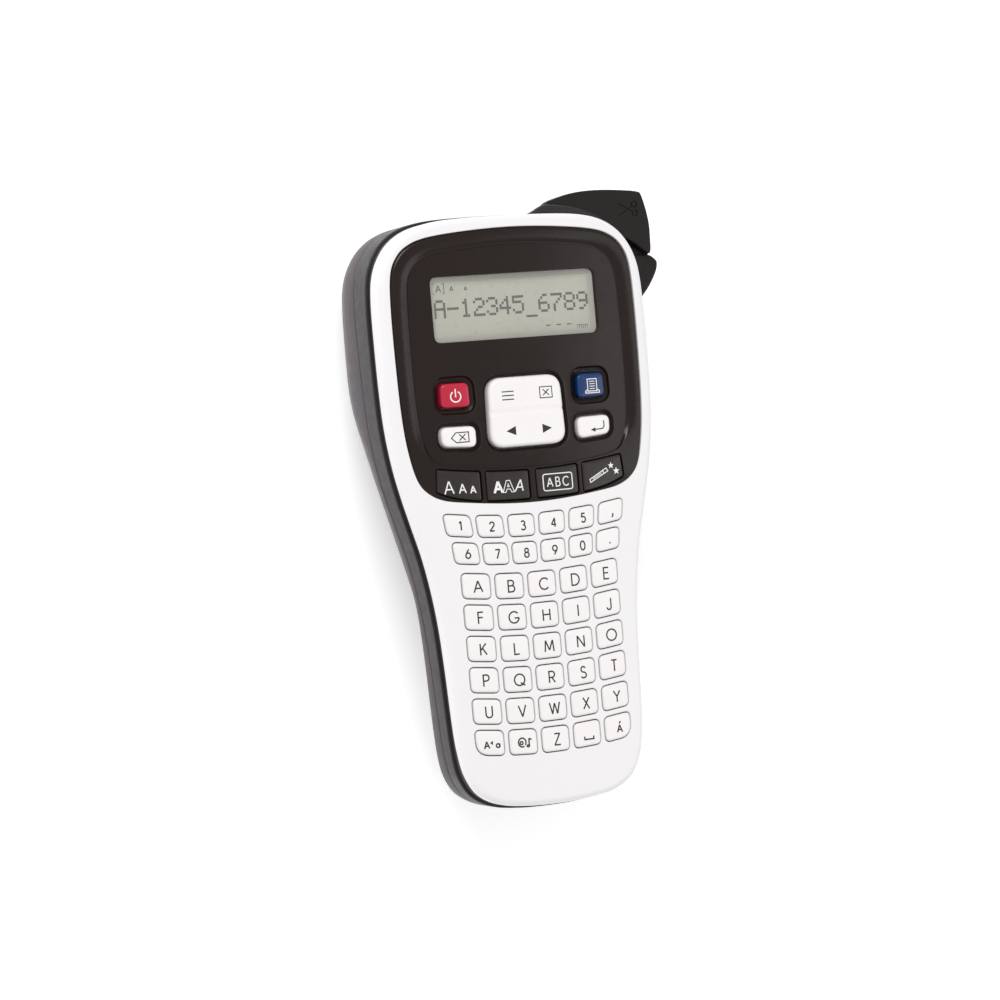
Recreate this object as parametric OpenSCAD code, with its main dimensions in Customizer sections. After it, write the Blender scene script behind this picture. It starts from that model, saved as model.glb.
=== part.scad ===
// Hand-held label maker, lying on its back: +X to the right, +Y towards the display end, +Z out of the face.
// The origin lies on the flat back of the tape compartment, on the centre line of the body.

/* [Body] */
// Depth from the rest face to the crown of the front cover
depth = 55; // [54:0.5:58]
// Wall thickness of the covers
wall = 2.2; // [1.8:0.1:2.4]
// Crown radius of the front face, about an axis along Y
crown_r = 440; // [400:10:520]
// Height of the seam between the front cover and the rear case, on the line y = 0
seam_z = 47; // [46.5:0.1:47.5]
// Height of the seam between the rear case and the rear cover, on the line y = 0
parting_z = 35.6; // [35:0.1:36]
// Depth of the dark recessed band under the front cover
band_inset = 1; // [0.6:0.1:1.4]

/* [Keys] */
// Column spacing of the letter keys
letter_pitch = 11.6; // [11.4:0.1:11.8]
// Row spacing of the letter keys
row_pitch = 10.22; // [10.1:0.02:10.4]
// Width of a letter key
letter_w = 9.5; // [9:0.1:9.7]
// Height of a letter key
letter_h = 7.9; // [7.5:0.1:8]
// Gap round each key and button
key_gap = 0.35; // [0.25:0.05:0.4]
// How far a key stands above the face
key_rise = 0.7; // [0.4:0.1:1]
// Travel of every key and button
key_travel = 0.8; // [0.5:0.1:0.8]

/* [Batteries] */
// Diameter of one AAA cell
cell_d = 10.5; // [10:0.1:10.6]
// Overall length of one AAA cell
cell_len = 44.5; // [44:0.1:44.6]

/* [Tape] */
// Width of the tape cassette
cassette_w = 46; // [45:0.5:46]
// Length of the tape cassette
cassette_l = 54; // [53:0.5:54]
// Thickness of the tape cassette
cassette_t = 17.5; // [17:0.1:18]
// Width of the label tape
tape_w = 12; // [9:3:12]

/* [Gears] */
// Module of the gear train
gear_m = 0.6; // [0.6:0.1:0.6]
// Share of the tooth pitch that a tooth fills on the pitch circle
tooth_share = 0.4; // [0.36:0.01:0.42]

/* [Hidden] */
$fn = 48;
eps = 0.05;
big = 130;

// ---- colours ----
white_plastic = "#f2f0f0";
dark_plastic = "#3a3432";
gloss_black = "#2c2624";
steel = "silver";

// ---- outlines: the right half, from the top to the bottom, mirrored to the left ----
BODY_EDGE = [[0, 95.7], [16, 95.5], [27, 94.7], [35, 92.6], [41, 88.8], [45, 83.6], [47.3, 77.5],
             [48.2, 70], [48.5, 60], [48.5, 42], [48, 28], [46.6, 16], [44.6, 6], [41.8, -5],
             [39.2, -15], [37.2, -26], [35.8, -38], [35, -52], [34.5, -66], [33.8, -79],
             [32.2, -87.5], [28.2, -94], [21, -98], [11, -99.6], [0, -100]];
PANEL_EDGE = [[0, 90.6], [16, 90], [30, 88.5], [37, 86], [41, 82], [43, 76.5], [43.7, 66],
              [43.7, 48], [43.2, 31], [42, 19.5], [39.8, 10.5], [36.4, 6], [31, 3.3], [22, 1.9], [11, 0.8],
              [0, 0.4]];
FLAT_EDGE = [[0, 85], [15, 84.3], [28, 82.8], [34, 80], [36.9, 74.5], [37.7, 62], [37.7, 40],
             [36.9, 26], [34.4, 17.5], [30, 14], [15, 11.9], [0, 11.5]];

// Closed loop, clockwise, from a right half whose first and last points lie on the centre line
function mirrored(half) = concat(half, [for (i = [len(half) - 2:-1:1]) [-half[i].x, half[i].y]]);
// Catmull-Rom curve through the points of a closed loop, with n steps between two points
function smooth(p, n) = let (c = len(p)) [for (i = [0:c - 1], k = [0:n - 1])
    let (a = p[(i + c - 1) % c], b = p[i], d = p[(i + 1) % c], e = p[(i + 2) % c], t = k / n)
    (2 * b + (d - a) * t + (2 * a - 5 * b + 4 * d - e) * t * t + (3 * b - a - 3 * d + e) * t * t * t) / 2];
// The same clockwise loop moved inwards by d
function inset(p, d) = let (c = len(p)) [for (i = [0:c - 1])
    let (t = p[(i + 1) % c] - p[(i + c - 1) % c]) p[i] + d * [t.y, -t.x] / norm(t)];
// A polygon with its corners rounded: r is one cut-back length or a list, n the steps per corner
function soft(p, r, n = 3) = let (c = len(p)) [for (i = [0:c - 1])
    let (q = p[i], a = p[(i + c - 1) % c] - q, b = p[(i + 1) % c] - q, d = is_list(r) ? r[i] : r,
         s = q + a / norm(a) * d, e = q + b / norm(b) * d)
    for (k = [0:n]) let (t = k / n) s * (1 - t) * (1 - t) + q * 2 * t * (1 - t) + e * t * t];
function rect(x0, y0, x1, y1) = [[x0, y0], [x1, y0], [x1, y1], [x0, y1]];

body_loop = smooth(mirrored(BODY_EDGE), 2);
panel_loop = smooth(mirrored(PANEL_EDGE), 2);
flat_loop = smooth(mirrored(FLAT_EDGE), 2);

module slab(points, z0, z1) translate([0, 0, z0]) linear_extrude(z1 - z0) polygon(points);
module block(x0, y0, z0, x1, y1, z1) translate([x0, y0, z0]) cube([x1 - x0, y1 - y0, z1 - z0]);
module rod(x, y, r, z0, z1) translate([x, y, z0]) cylinder(r = r, h = z1 - z0);
// Everything under the crowned face, lowered by drop
module under_crown(drop) translate([0, 150, depth - crown_r]) rotate([90, 0, 0])
    cylinder(r = crown_r - drop, h = 300, $fn = 360);
// The space above a plane that falls towards +Y
module above(z0, slope) translate([0, 0, z0]) rotate([-atan(slope), 0, 0])
    translate([-big, -big, 0]) cube([2 * big, 2 * big, big]);
module below(z0, slope) translate([0, 0, z0]) rotate([-atan(slope), 0, 0])
    translate([-big, -big, -big]) cube([2 * big, 2 * big, big]);
seam_slope = 0.025;
parting_slope = 0.052;

// ---- heights of the stack under the face ----
flange_top = 51;
flange_z = 50.2;
board_top = 48.4;
board_z = 46.8;
deck_top = 46.1;
deck_z = 44.9;
panel_drop = 1;
panel_under = 50.9;

// ---- keys ----
smile = 0.0024;
function row_y(x, y0) = y0 + smile * x * x;
number_top_y = -7;
number_low_y = -16;
number_top_pitch = 11;
number_low_pitch = 10.25;
letter_top_y = -26.6;
key_corner = 1.4;
key_flange = 0.8;
// A key's outline: its sides lean with slant, its top and bottom follow the row's curve
function key_quad(x, y0, w, h, slant, grow = 0) = let (s = 2 * smile * x, a = w / 2 + grow, b = h / 2 + grow)
    [for (c = [[-1, -1], [1, -1], [1, 1], [-1, 1]])
        [x + c.x * a + slant * c.y * b, row_y(x, y0) + c.y * b + s * c.x * a]];
// One row is [y at the centre, pitch, number of keys, width, height, slant for each mm of x]
ROWS = [[number_top_y, number_top_pitch, 6, 8.9, 6.9, 0.005],
        [number_low_y, number_low_pitch, 6, 8.4, 6.7, 0.004],
        for (i = [0:5]) [letter_top_y - i * row_pitch, letter_pitch, 5, letter_w, letter_h, 0]];
last_row = len(ROWS) - 1;
function key_x(row, i) = (i - (row[2] - 1) / 2) * row[1];
// The two outer keys of the last row have one wide lower corner, to follow the body's end
function key_radii(n, i) = n != last_row ? key_corner
    : i == 0 ? [4.2, key_corner, key_corner, key_corner]
    : i == ROWS[n][2] - 1 ? [key_corner, 4.2, key_corner, key_corner] : key_corner;
function key_points(n, i, grow = 0) = let (r = ROWS[n], x = key_x(r, i))
    soft(key_quad(x, r[0], r[3], r[4], r[5] * x, grow), key_radii(n, i));

// ---- buttons on the display panel: [outline points, corner cut-back] ----
power_quad = [[-29.6, 33.2], [-19.4, 33], [-19.6, 41], [-29.4, 41]];
print_quad = [[19.4, 33], [29.6, 33.2], [29.4, 41], [19.6, 41]];
backspace_quad = [[-30.3, 20.6], [-18.4, 19.7], [-18.3, 26.7], [-30.5, 26.9]];
enter_quad = [[18.4, 19.7], [30.3, 20.6], [30.5, 26.9], [18.3, 26.7]];
pad_quad = [[-13.6, 18.8], [13.6, 18.8], [13, 41.6], [-13, 41.6]];
// The upper and the lower edge of the four function keys
function fn_top(x) = 10.9 + smile * x * x;
function fn_low(x) = 1.5 + 0.0009 * x * x + 0.000003 * pow(x, 4);
function fn_quad(x0, x1, lean0, lean1) = [[x0 + lean0, fn_low(x0)], [x1 + lean1, fn_low(x1)],
    [x1, fn_top(x1)], [x0, fn_top(x0)]];
fn_keys = [fn_quad(-33.2, -18.4, -0.6, 0), fn_quad(-16.5, -1.3, 0, 0), fn_quad(1.3, 16.5, 0, 0),
           fn_quad(18.4, 33.2, 0, 0.6)];
fn_corner = 0.8;
// Every button: [points, corner]
BUTTONS = [[power_quad, 2], [print_quad, 2], [backspace_quad, 2.4], [enter_quad, 2.4], [pad_quad, 5],
           for (q = fn_keys) [q, fn_corner]];
function centre(q) = (q[0] + q[1] + q[2] + q[3]) / 4;
// A button's outline grown by g, each corner moved away from the middle
function grown(q, g) = let (c = centre(q)) [for (p = q) p + g * [sign(p.x - c.x), sign(p.y - c.y)]];
window = [29.5, 54.3, 75.7];
lcd_half = 32;

// ---- screws ----
SIDE_SCREWS = [[-43.2, 68], [43.2, 52], [-41.2, 14], [41.2, 14]];
TAIL_SCREWS = [[-19, -93], [19, -93]];
CASE_SCREWS = concat(SIDE_SCREWS, TAIL_SCREWS);
PANEL_SCREWS = [[-34, 47], [34, 47]];
GRIP_SCREWS = [[-14, -86.8], [14, -86.8]];
BOARD_SCREWS = concat(PANEL_SCREWS, GRIP_SCREWS);
screw_r = 1.1;

// ---- batteries ----
cell_z = 38.9;
cell_pitch = 11;
cell_y0 = -84.6;
cell_count = 6;
bay_half = 26.6;
bay_y0 = -90.6;
bay_y1 = cell_y0 + (cell_count - 1) * cell_pitch + 6;
function cell_y(i) = cell_y0 + i * cell_pitch;
function cell_dir(i) = i % 2 == 0 ? 1 : -1;

// ---- tape compartment ----
cas_x0 = -38;
cas_y0 = 30;
cas_z0 = 6;
cas_x1 = cas_x0 + cassette_w;
cas_y1 = cas_y0 + cassette_l;
cas_z1 = cas_z0 + cassette_t;
cas_mid = cas_z0 + cassette_t / 2;
tape_y = 82.3;
tape_thick = 0.3;
roll_at = [-22, 66.5];
roll_r = 12.8;
plate_z = 27;
plate_top = 28.2;
PLATE_POSTS = [[-36, 24], [-33, 84], [33, 24], [34, 72]];

// ---- gear train: [centre, teeth, phase of one tooth] ----
platen_at = [18, 76.7];
platen_r = 5.5;
motor_at = [28, 36];
reduction_at = motor_at + 18 * [cos(100), sin(100)];
// The transfer gear meshes with both the reduction gear's pinion and the platen gear
to_platen = platen_at - reduction_at;
mesh_a = (14 + 40) / 2 * gear_m;
mesh_b = (40 + 24) / 2 * gear_m;
turn_a = acos((mesh_a * mesh_a + to_platen * to_platen - mesh_b * mesh_b) / (2 * mesh_a * norm(to_platen)));
angle_a = atan2(to_platen.y, to_platen.x) + turn_a;
transfer_at = reduction_at + mesh_a * [cos(angle_a), sin(angle_a)];
spindle_turn = 200;
spindle_at = transfer_at + (40 + 30) / 2 * gear_m * [cos(spindle_turn), sin(spindle_turn)];
// Phase of gear 2 so that it meshes with gear 1, whose teeth stand at phase 1, in direction dir
function mesh_phase(dir, z1, phase1, z2) = dir + 180 + 180 / z2 - (phase1 - dir) * z1 / z2;
function heading(a, b) = atan2(b.y - a.y, b.x - a.x);
phase_reduction = mesh_phase(heading(motor_at, reduction_at), 12, 0, 48);
phase_transfer = mesh_phase(angle_a, 14, phase_reduction, 40);
phase_platen = mesh_phase(heading(transfer_at, platen_at), 40, phase_transfer, 24);
phase_spindle = mesh_phase(spindle_turn, 40, phase_transfer, 30);
layer_1 = [29.2, 33.2];
layer_2 = [33.8, 37.8];
// Polar outline of a spur gear with straight-sided teeth
function gear_points(z) = let (r = z * gear_m / 2, p = 360 / z, half = p * tooth_share / 2,
    lean = tan(20) * gear_m / r * 180 / PI)
    [for (i = [0:z - 1]) for (c = [[-1.15, -1, 1.15], [0, -1, 0], [0.85, -1, -0.85],
                                  [0.85, 1, -0.85], [0, 1, 0], [-1.15, 1, 1.15]])
        let (rr = r + c.x * gear_m, a = i * p + c.y * (half + c.z * lean)) rr * [cos(a), sin(a)]];
module gear(at, z, phase, span, bore) translate([at.x, at.y, span[0]]) difference() {
    rotate([0, 0, phase]) linear_extrude(span[1] - span[0]) polygon(gear_points(z));
    translate([0, 0, -1]) cylinder(r = bore, h = span[1] - span[0] + 2);
}

// ---- cutter lever and tape exit ----
pivot = [14, 89.9];
lever_z = 38;
lever_top = 41;
lever_wall_z = 9;
guide_top = 37.5;
guide_z = 8;
// The wing's outer edge, then its inner edge inside the case
LEVER_EDGE = [[19.4, 98.6], [26.4, 101.2], [33, 102.4], [41, 102.7], [50, 102.1], [54, 101.4], [56.2, 99.4],
              [57.4, 95], [58.1, 90], [58, 85], [57.3, 80.4], [50, 87], [43, 87.6], [30, 87], [14, 86.8],
              [11.2, 89.9], [14, 93], [18.6, 93.4]];
// The shoulder of the case that covers the lever's root
SHOULDER = [[8, 94.4], [12.6, 96.6], [17.5, 98.2], [24, 97.9], [31.5, 96.4], [38.5, 93.2], [44.3, 88.4],
            [48.2, 82], [48.9, 74], [47, 66], [45, 76], [40, 86], [30, 91], [12, 93]];
GUIDE_EDGE = [[43.2, 81.4], [52, 81], [58.4, 80.2], [61.2, 78.6], [62, 77], [61, 74], [58, 69.4],
              [55, 66], [53, 63.6], [49.2, 66]];

// ---- rear shape ----
grip_back_z = 28.5;
grip_crown_r = 200;
hump_y0 = -14;
hump_y1 = 88;
// Side view of the hump, t inside its skin
function hump_side(t) = [[hump_y0 + t * 0.4, t], [hump_y1 - t, t], [93 - t, 7], [96.5 - t, 20], [97 - t, 50],
    [hump_y0 - 30, 50], [hump_y0 - 30, 28 + t]];
// End view of the hump, t inside its skin
function hump_end(t) = [[-60, t], [37 - t, t], [42.5 - t, 6], [47 - t, 20], [49.5 - t, 30],
    [49.5 - t, 50], [-60, 50]];
// Outline of the head, closed under the grip
head_loop = concat([for (p = body_loop) if (p.y > 42 && p.x >= 0) p], [[48.5, -50], [-48.5, -50]],
    [for (p = body_loop) if (p.y > 42 && p.x < 0) p]);
// The head's outline with its left side drawn in by d, t inside the skin
function drawn_in(d, t) = let (a = inset(head_loop, t), b = inset(head_loop, d + 1.085 * t))
    [for (i = [0:len(a) - 1]) a[i] + (b[i] - a[i]) * min(1, max(0, (-5 - head_loop[i].x) / 20))];
draft = 0.42;
draft_z = 21;
// The head with a drafted left wall under draft_z, t inside its skin
module drafted(t) {
    rings = [[drawn_in(draft * (draft_z + 1), t), -1], [inset(head_loop, t - 0.5), draft_z + 0.2 * t + 1.2],
             [inset(head_loop, t - 0.5), 52]];
    n = len(head_loop);
    polyhedron(points = [for (r = rings) for (p = r[0]) [p.x, p.y, r[1]]],
        faces = concat([[for (i = [n - 1:-1:0]) i]], [[for (i = [0:n - 1]) 2 * n + i]],
            [for (k = [0, 1]) for (i = [0:n - 1]) [k * n + i, k * n + (i + 1) % n, (k + 1) * n + i]],
            [for (k = [0, 1]) for (i = [0:n - 1])
                [k * n + (i + 1) % n, (k + 1) * n + (i + 1) % n, (k + 1) * n + i]]));
}
// Half width of the wedge that narrows the hump towards the grip, t inside its skin
function wedge_x(y, z, t) = 29.3 + 0.265 * y + 0.446 * z - 1.13 * t;
module wedge(t) polyhedron(
    points = [for (z = [-2, 60]) for (y = [-45, 120]) for (s = [-1, 1]) [s * wedge_x(y, z, t), y, z]],
    faces = [[0, 1, 3, 2], [4, 6, 7, 5], [0, 4, 5, 1], [2, 3, 7, 6], [0, 2, 6, 4], [1, 5, 7, 3]]);
// Side view of the grip's back, t inside its skin
function grip_side(t) = [[-101 + t, 50], [-101 + t, 37], [-98.5 + t, 33], [-92, 30.2 + t],
    [-60, grip_back_z + t], [-20, 26.5 + t], [0, 26 + t], [0, 50]];
module along_x(points) rotate([90, 0, 90]) translate([0, 0, -big / 2]) linear_extrude(big) polygon(points);
module along_y(points) translate([0, big, 0]) rotate([90, 0, 0]) linear_extrude(2 * big) polygon(points);
// The whole back, t inside its skin
module back_solid(t) {
    intersection() {
        slab(inset(body_loop, t), -1, 52);
        along_x(hump_side(t));
        along_y(hump_end(t));
        drafted(t);
        wedge(t);
    }
    intersection() {
        slab(inset(body_loop, t), -1, 52);
        along_x(grip_side(t));
        translate([0, 150, grip_back_z - 0.4 + grip_crown_r]) rotate([90, 0, 0])
            cylinder(r = grip_crown_r - t, h = 300, $fn = 360);
    }
}
// Corner that is left open for the cutter lever and the tape
NOTCH = [[15, 93], [20, 120], [80, 120], [80, 80.4], [44.6, 80.4], [38, 84], [25, 88]];
module lever_notch(z0, z1) slab(NOTCH, z0, z1);

// ================= sub-parts =================
module front_cover() color(white_plastic) difference() {
    union() {
        difference() {
            intersection() {
                slab(body_loop, 40, 60);
                under_crown(0);
                above(seam_z, seam_slope);
            }
            intersection() {
                slab(inset(body_loop, wall), 39, 60);
                under_crown(wall);
            }
        }
        for (s = SIDE_SCREWS) rod(s.x, s.y, 3.2, 46.8, 49.1);
        for (s = TAIL_SCREWS) intersection() {
            rod(s.x, s.y, 2.4, deck_top + 0.1, 54);
            under_crown(wall / 2);
        }
        for (s = GRIP_SCREWS) intersection() {
            rod(s.x, s.y, 2.4, board_top, 54);
            under_crown(wall / 2);
        }
    }
    slab(inset(panel_loop, -0.1), 49, 60);
    for (n = [0:last_row], i = [0:ROWS[n][2] - 1]) slab(key_points(n, i, key_gap), 49, 60);
    for (s = CASE_SCREWS) rod(s.x, s.y, screw_r + eps, deck_top - 1, 50);
    for (s = GRIP_SCREWS) rod(s.x, s.y, screw_r + eps, board_top - 1, 52);
}

module display_panel() color(gloss_black) difference() {
    union() {
        difference() {
            union() {
                intersection() {
                    slab(panel_loop, panel_under, 60);
                    under_crown(0.15);
                }
                intersection() {
                    slab(inset(panel_loop, -0.7), 49.2, 60);
                    under_crown(wall + 0.1);
                }
            }
            difference() {
                slab(flat_loop, 50, 60);
                under_crown(panel_drop);
            }
            slab(inset(panel_loop, 2.5), 49, panel_under);
        }
        for (s = PANEL_SCREWS) rod(s.x, s.y, 2.4, board_top, 52);
    }
    slab(soft(rect(-window[0], window[1], window[0], window[2]), 2.4), 49, 60);
    slab(rect(-window[0] - 1, window[1] - 1, window[0] + 1, window[2] + 1), 49, 52.3);
    for (b = BUTTONS) {
        slab(soft(grown(b[0], key_gap), b[1]), 49, 60);
        slab(soft(grown(b[0], 1.3), b[1]), 49, panel_under);
    }
    for (s = PANEL_SCREWS) rod(s.x, s.y, screw_r + eps, board_top - 1, 52);
}

module display_window() color("#c8c8c0", 0.4) {
    slab(rect(-window[0] - 0.9, window[1] - 0.9, window[0] + 0.9, window[2] + 0.9), 51.6, 52.2);
    slab(soft(rect(-window[0] + 0.1, window[1] + 0.1, window[0] - 0.1, window[2] - 0.1), 2.4), 52.2, 52.8);
}

module lcd_glass() color("#a9a89c") slab(rect(-lcd_half, 52.4, lcd_half, 77.6), 49.1, 50.8);

module lcd_frame() color("#d8d6cc") difference() {
    slab(rect(-lcd_half - 1.5, 51, lcd_half + 1.5, 79), board_top + 0.05, 50.8);
    slab(rect(-lcd_half - 0.1, 52.3, lcd_half + 0.1, 77.7), 49, 53);
    slab(rect(-26, 56, 26, 74), 47, 53);
    slab(rect(-12, 50, 12, 54), 47, 50.4);
}

module lcd_cable() color("#c07a2c") {
    block(-10, 47.6, 48.45, 10, 53.8, 48.7);
    block(-10, 53.5, 48.7, 10, 53.8, 49.05);
}

module keypad_mat() color("#b8b8bc") {
    slab([[-30, -82.8], [30, -82.8], [30, -8], [34.6, 3], [34.6, 43.6], [-34.6, 43.6], [-34.6, 3],
          [-30, -8]], board_top + 0.05, 49);
    for (n = [0:last_row], i = [0:ROWS[n][2] - 1]) let (x = key_x(ROWS[n], i))
        rod(x, row_y(x, ROWS[n][0]), 2.4, 49, 49.3);
    for (b = BUTTONS) rod(centre(b[0]).x, centre(b[0]).y, 2.4, 49, 49.3);
}

module main_board() color("#2f6b3c") difference() {
    slab(soft([[-25, -90], [25, -90], [29.4, -85], [29.4, -14], [36.6, 4], [36.6, 78], [30, 84.5],
               [-30, 84.5], [-36.6, 78], [-36.6, 4], [-29.4, -14], [-29.4, -85]], 1.5), board_z, board_top);
    for (s = BOARD_SCREWS) rod(s.x, s.y, 1.3, 40, 50);
}

module board_chips() color("#26262a") {
    block(-26, 12, deck_top + 0.05, -15, 23, board_z);
    block(6, 8, deck_top + 0.1, 14, 20, board_z);
    block(18, 26, deck_top + 0.1, 27, 31, board_z);
    for (i = [0:4]) block(-30 + 3 * i, 40, deck_top + 0.15, -28.4 + 3 * i, 43, board_z);
}

// A self-tapping screw that points up, with its head below z
module screw(s, z, length) {
    rod(s.x, s.y, screw_r, z, z + length);
    difference() {
        rod(s.x, s.y, 2.1, z - 1.4, z);
        block(s.x - 1.3, s.y - 0.25, z - 1.5, s.x + 1.3, s.y + 0.25, z - 0.8);
        block(s.x - 0.25, s.y - 1.3, z - 1.5, s.x + 0.25, s.y + 1.3, z - 0.8);
    }
}
module board_screws() color(steel) for (s = BOARD_SCREWS) screw(s, board_z, 4.4);
module case_screws() color(steel) for (s = CASE_SCREWS) screw(s, deck_z - 3, 7);

// ---- keys and buttons ----
module panel_button(b, rise, colour) color(colour) {
    intersection() {
        slab(soft(b[0], b[1]), flange_z, 60);
        under_crown(panel_drop - rise);
    }
    slab(soft(grown(b[0], 0.9), b[1]), flange_z, 50.7);
}
module power_button() panel_button(BUTTONS[0], 0.9, "#d05b6b");
module print_button() panel_button(BUTTONS[1], 0.9, "#1f3f86");
module backspace_button() panel_button(BUTTONS[2], 0.9, white_plastic);
module enter_button() panel_button(BUTTONS[3], 0.9, white_plastic);
module navigation_pad() difference() {
    panel_button(BUTTONS[4], 1.6, white_plastic);
    color(white_plastic) {
        block(-20, 29.8, 54.8, 20, 30.6, 60);
        block(-0.4, 10, 54.8, 0.4, 50, 60);
    }
}
module size_key() panel_button(BUTTONS[5], 1, gloss_black);
module style_key() panel_button(BUTTONS[6], 1, gloss_black);
module frame_key() panel_button(BUTTONS[7], 1, gloss_black);
module decoration_key() panel_button(BUTTONS[8], 1, gloss_black);

// The keys of row n, tied together under the cover by a strip that follows the row's curve
module key_row(n) color(white_plastic) {
    row = ROWS[n];
    reach = key_x(row, row[2] - 1);
    steps = 8;
    for (i = [0:row[2] - 1]) {
        intersection() {
            slab(key_points(n, i), flange_z, 60);
            under_crown(-key_rise);
        }
        slab(key_points(n, i, key_flange), flange_z, flange_top);
    }
    slab(concat([for (k = [-steps:steps]) let (x = reach * k / steps) [x, row_y(x, row[0]) - 1.5]],
                [for (k = [steps:-1:-steps]) let (x = reach * k / steps) [x, row_y(x, row[0]) + 1.5]]),
         flange_z, flange_top);
}
module number_keys_upper() key_row(0);
module number_keys_lower() key_row(1);
module letter_keys_a_to_e() key_row(2);
module letter_keys_f_to_j() key_row(3);
module letter_keys_k_to_o() key_row(4);
module letter_keys_p_to_t() key_row(5);
module letter_keys_u_to_y() key_row(6);
module bottom_keys() key_row(7);

// ---- case ----
module rear_case() color(dark_plastic) difference() {
    union() {
        difference() {
            union() {
                intersection() {
                    slab(body_loop, 20, 60);
                    above(parting_z, parting_slope);
                    below(seam_z - 3, seam_slope);
                }
                intersection() {
                    slab(inset(body_loop, band_inset), 20, 60);
                    above(parting_z, parting_slope);
                    below(seam_z, seam_slope);
                }
                slab(SHOULDER, 41.6, 43.6);
            }
            slab(inset(body_loop, wall), deck_top, 60);
            slab(inset(body_loop, wall), 10, deck_z);
        }
        // Battery compartment walls
        difference() {
            intersection() {
                slab(rect(-bay_half - 1.2, bay_y0 - 1.2, bay_half + 1.2, bay_y1 + 1.2), 20, deck_z);
                above(parting_z + 0.6, parting_slope);
            }
            slab(rect(-bay_half, bay_y0, bay_half, bay_y1), 19, deck_z);
        }
        for (s = SIDE_SCREWS) rod(s.x, s.y, 3.1, deck_z - 5, deck_z);
        for (s = TAIL_SCREWS) rod(s.x, s.y, 2.9, deck_z - 4.4, deck_z);
        for (p = PLATE_POSTS) rod(p.x, p.y, 2.4, plate_top, deck_z);
    }
    for (s = CASE_SCREWS) {
        rod(s.x, s.y, 1.4, 30, 50);
        rod(s.x, s.y, 2.3, 30, deck_z - 3);
    }
    for (s = BOARD_SCREWS) rod(s.x, s.y, 2.6, deck_z - 1, deck_top + 1);
    lever_notch(20, 41.6);
    // Hole for the power jack and slots for the cables
    translate([40, 27, 38.8]) rotate([0, 90, 0]) cylinder(r = 4.6, h = 20);
    block(0, 85.8, 40, 4.4, 88, 50);
    block(-4, 0, 40, 4, 3, 50);
    for (y = [bay_y0 + 4, bay_y1 - 6]) block(27, y, 40, 28.6, y + 2, 50);
}

module rear_cover() color(dark_plastic) difference() {
    intersection() {
        back_solid(0);
        below(parting_z - 0.15, parting_slope);
    }
    back_solid(wall);
    lever_notch(guide_z - 0.4, 60);
    slab(soft(rect(-32, 44, -8, 74), 3), -1, 5);
    slab(soft(rect(-34, 42, -6, 76), 3), 1.1, 5);
    // Grip ribs, cut as grooves
    for (i = [0:5]) block(-9, -93 + 2.2 * i, 20, 9, -92 + 2.2 * i, 30.4 - 0.1 * i);
}
module cassette_window() color("#9a9a94", 0.5) {
    slab(soft(rect(-31.9, 44.1, -8.1, 73.9), 3), 0.2, 1.1);
    slab(soft(rect(-33.8, 42.2, -6.2, 75.8), 3), 1.1, 2.1);
}

// ---- power ----
module batteries() for (i = [0:cell_count - 1]) let (d = cell_dir(i)) {
    color("#8c8f96") translate([-d * cell_len / 2, cell_y(i), cell_z]) rotate([0, d * 90, 0])
        cylinder(r = cell_d / 2, h = cell_len - 0.9);
    color(steel) translate([d * (cell_len / 2 - 0.9), cell_y(i), cell_z]) rotate([0, d * 90, 0])
        cylinder(r = 1.9, h = 0.9);
}
// Points of a coil's cross-section ring, for a conical contact spring along +Z
coil_sides = 6;
coil_steps = 12;
coil_turns = 3;
function coil_ring(k, r0, r1, h, wire) = let (t = k / (coil_steps * coil_turns), a = 360 * k / coil_steps,
    r = r0 + (r1 - r0) * t, z = wire + (h - 2 * wire) * t)
    [for (j = [0:coil_sides - 1]) let (b = 360 * j / coil_sides)
        [(r + wire * cos(b)) * cos(a), (r + wire * cos(b)) * sin(a), z + wire * sin(b)]];
module coil(r0, r1, h, wire) {
    count = coil_steps * coil_turns;
    points = [for (k = [0:count]) each coil_ring(k, r0, r1, h, wire)];
    sides = [for (k = [0:count - 1], j = [0:coil_sides - 1])
        let (a = k * coil_sides, b = a + coil_sides, n = (j + 1) % coil_sides) [a + n, b + n, b + j, a + j]];
    polyhedron(points, concat([[for (j = [coil_sides - 1:-1:0]) j]],
        [[for (j = [0:coil_sides - 1]) count * coil_sides + j]], sides), convexity = 6);
}
module battery_contacts() color(steel) for (i = [0:cell_count - 1]) let (d = cell_dir(i)) {
    translate([-d * (bay_half - 0.5), cell_y(i), cell_z]) rotate([0, d * 90, 0]) coil(3.2, 1.8, 3.6, 0.3);
    translate([-d * (bay_half - 0.2), cell_y(i), cell_z]) cube([0.4, 8.6, 8.6], center = true);
    translate([d * (bay_half - 0.2), cell_y(i), cell_z]) cube([0.4, 8.6, 8.6], center = true);
    translate([d * (bay_half + cell_len / 2 - 0.3) / 2, cell_y(i), cell_z])
        cube([bay_half - cell_len / 2 - 0.5, 3.6, 3.6], center = true);
}
module dc_jack() color("#1c1c1e") {
    difference() {
        block(35.6, 22.4, 33.6, 44.9, 31.6, 44);
        translate([34, 27, 38.8]) rotate([0, 90, 0]) cylinder(r = 3, h = 20);
    }
    translate([35.6, 27, 38.8]) rotate([0, 90, 0]) cylinder(r = 0.8, h = 8.3);
    block(35.6, 23, 34.2, 36.6, 31, 43.4);
}

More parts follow.
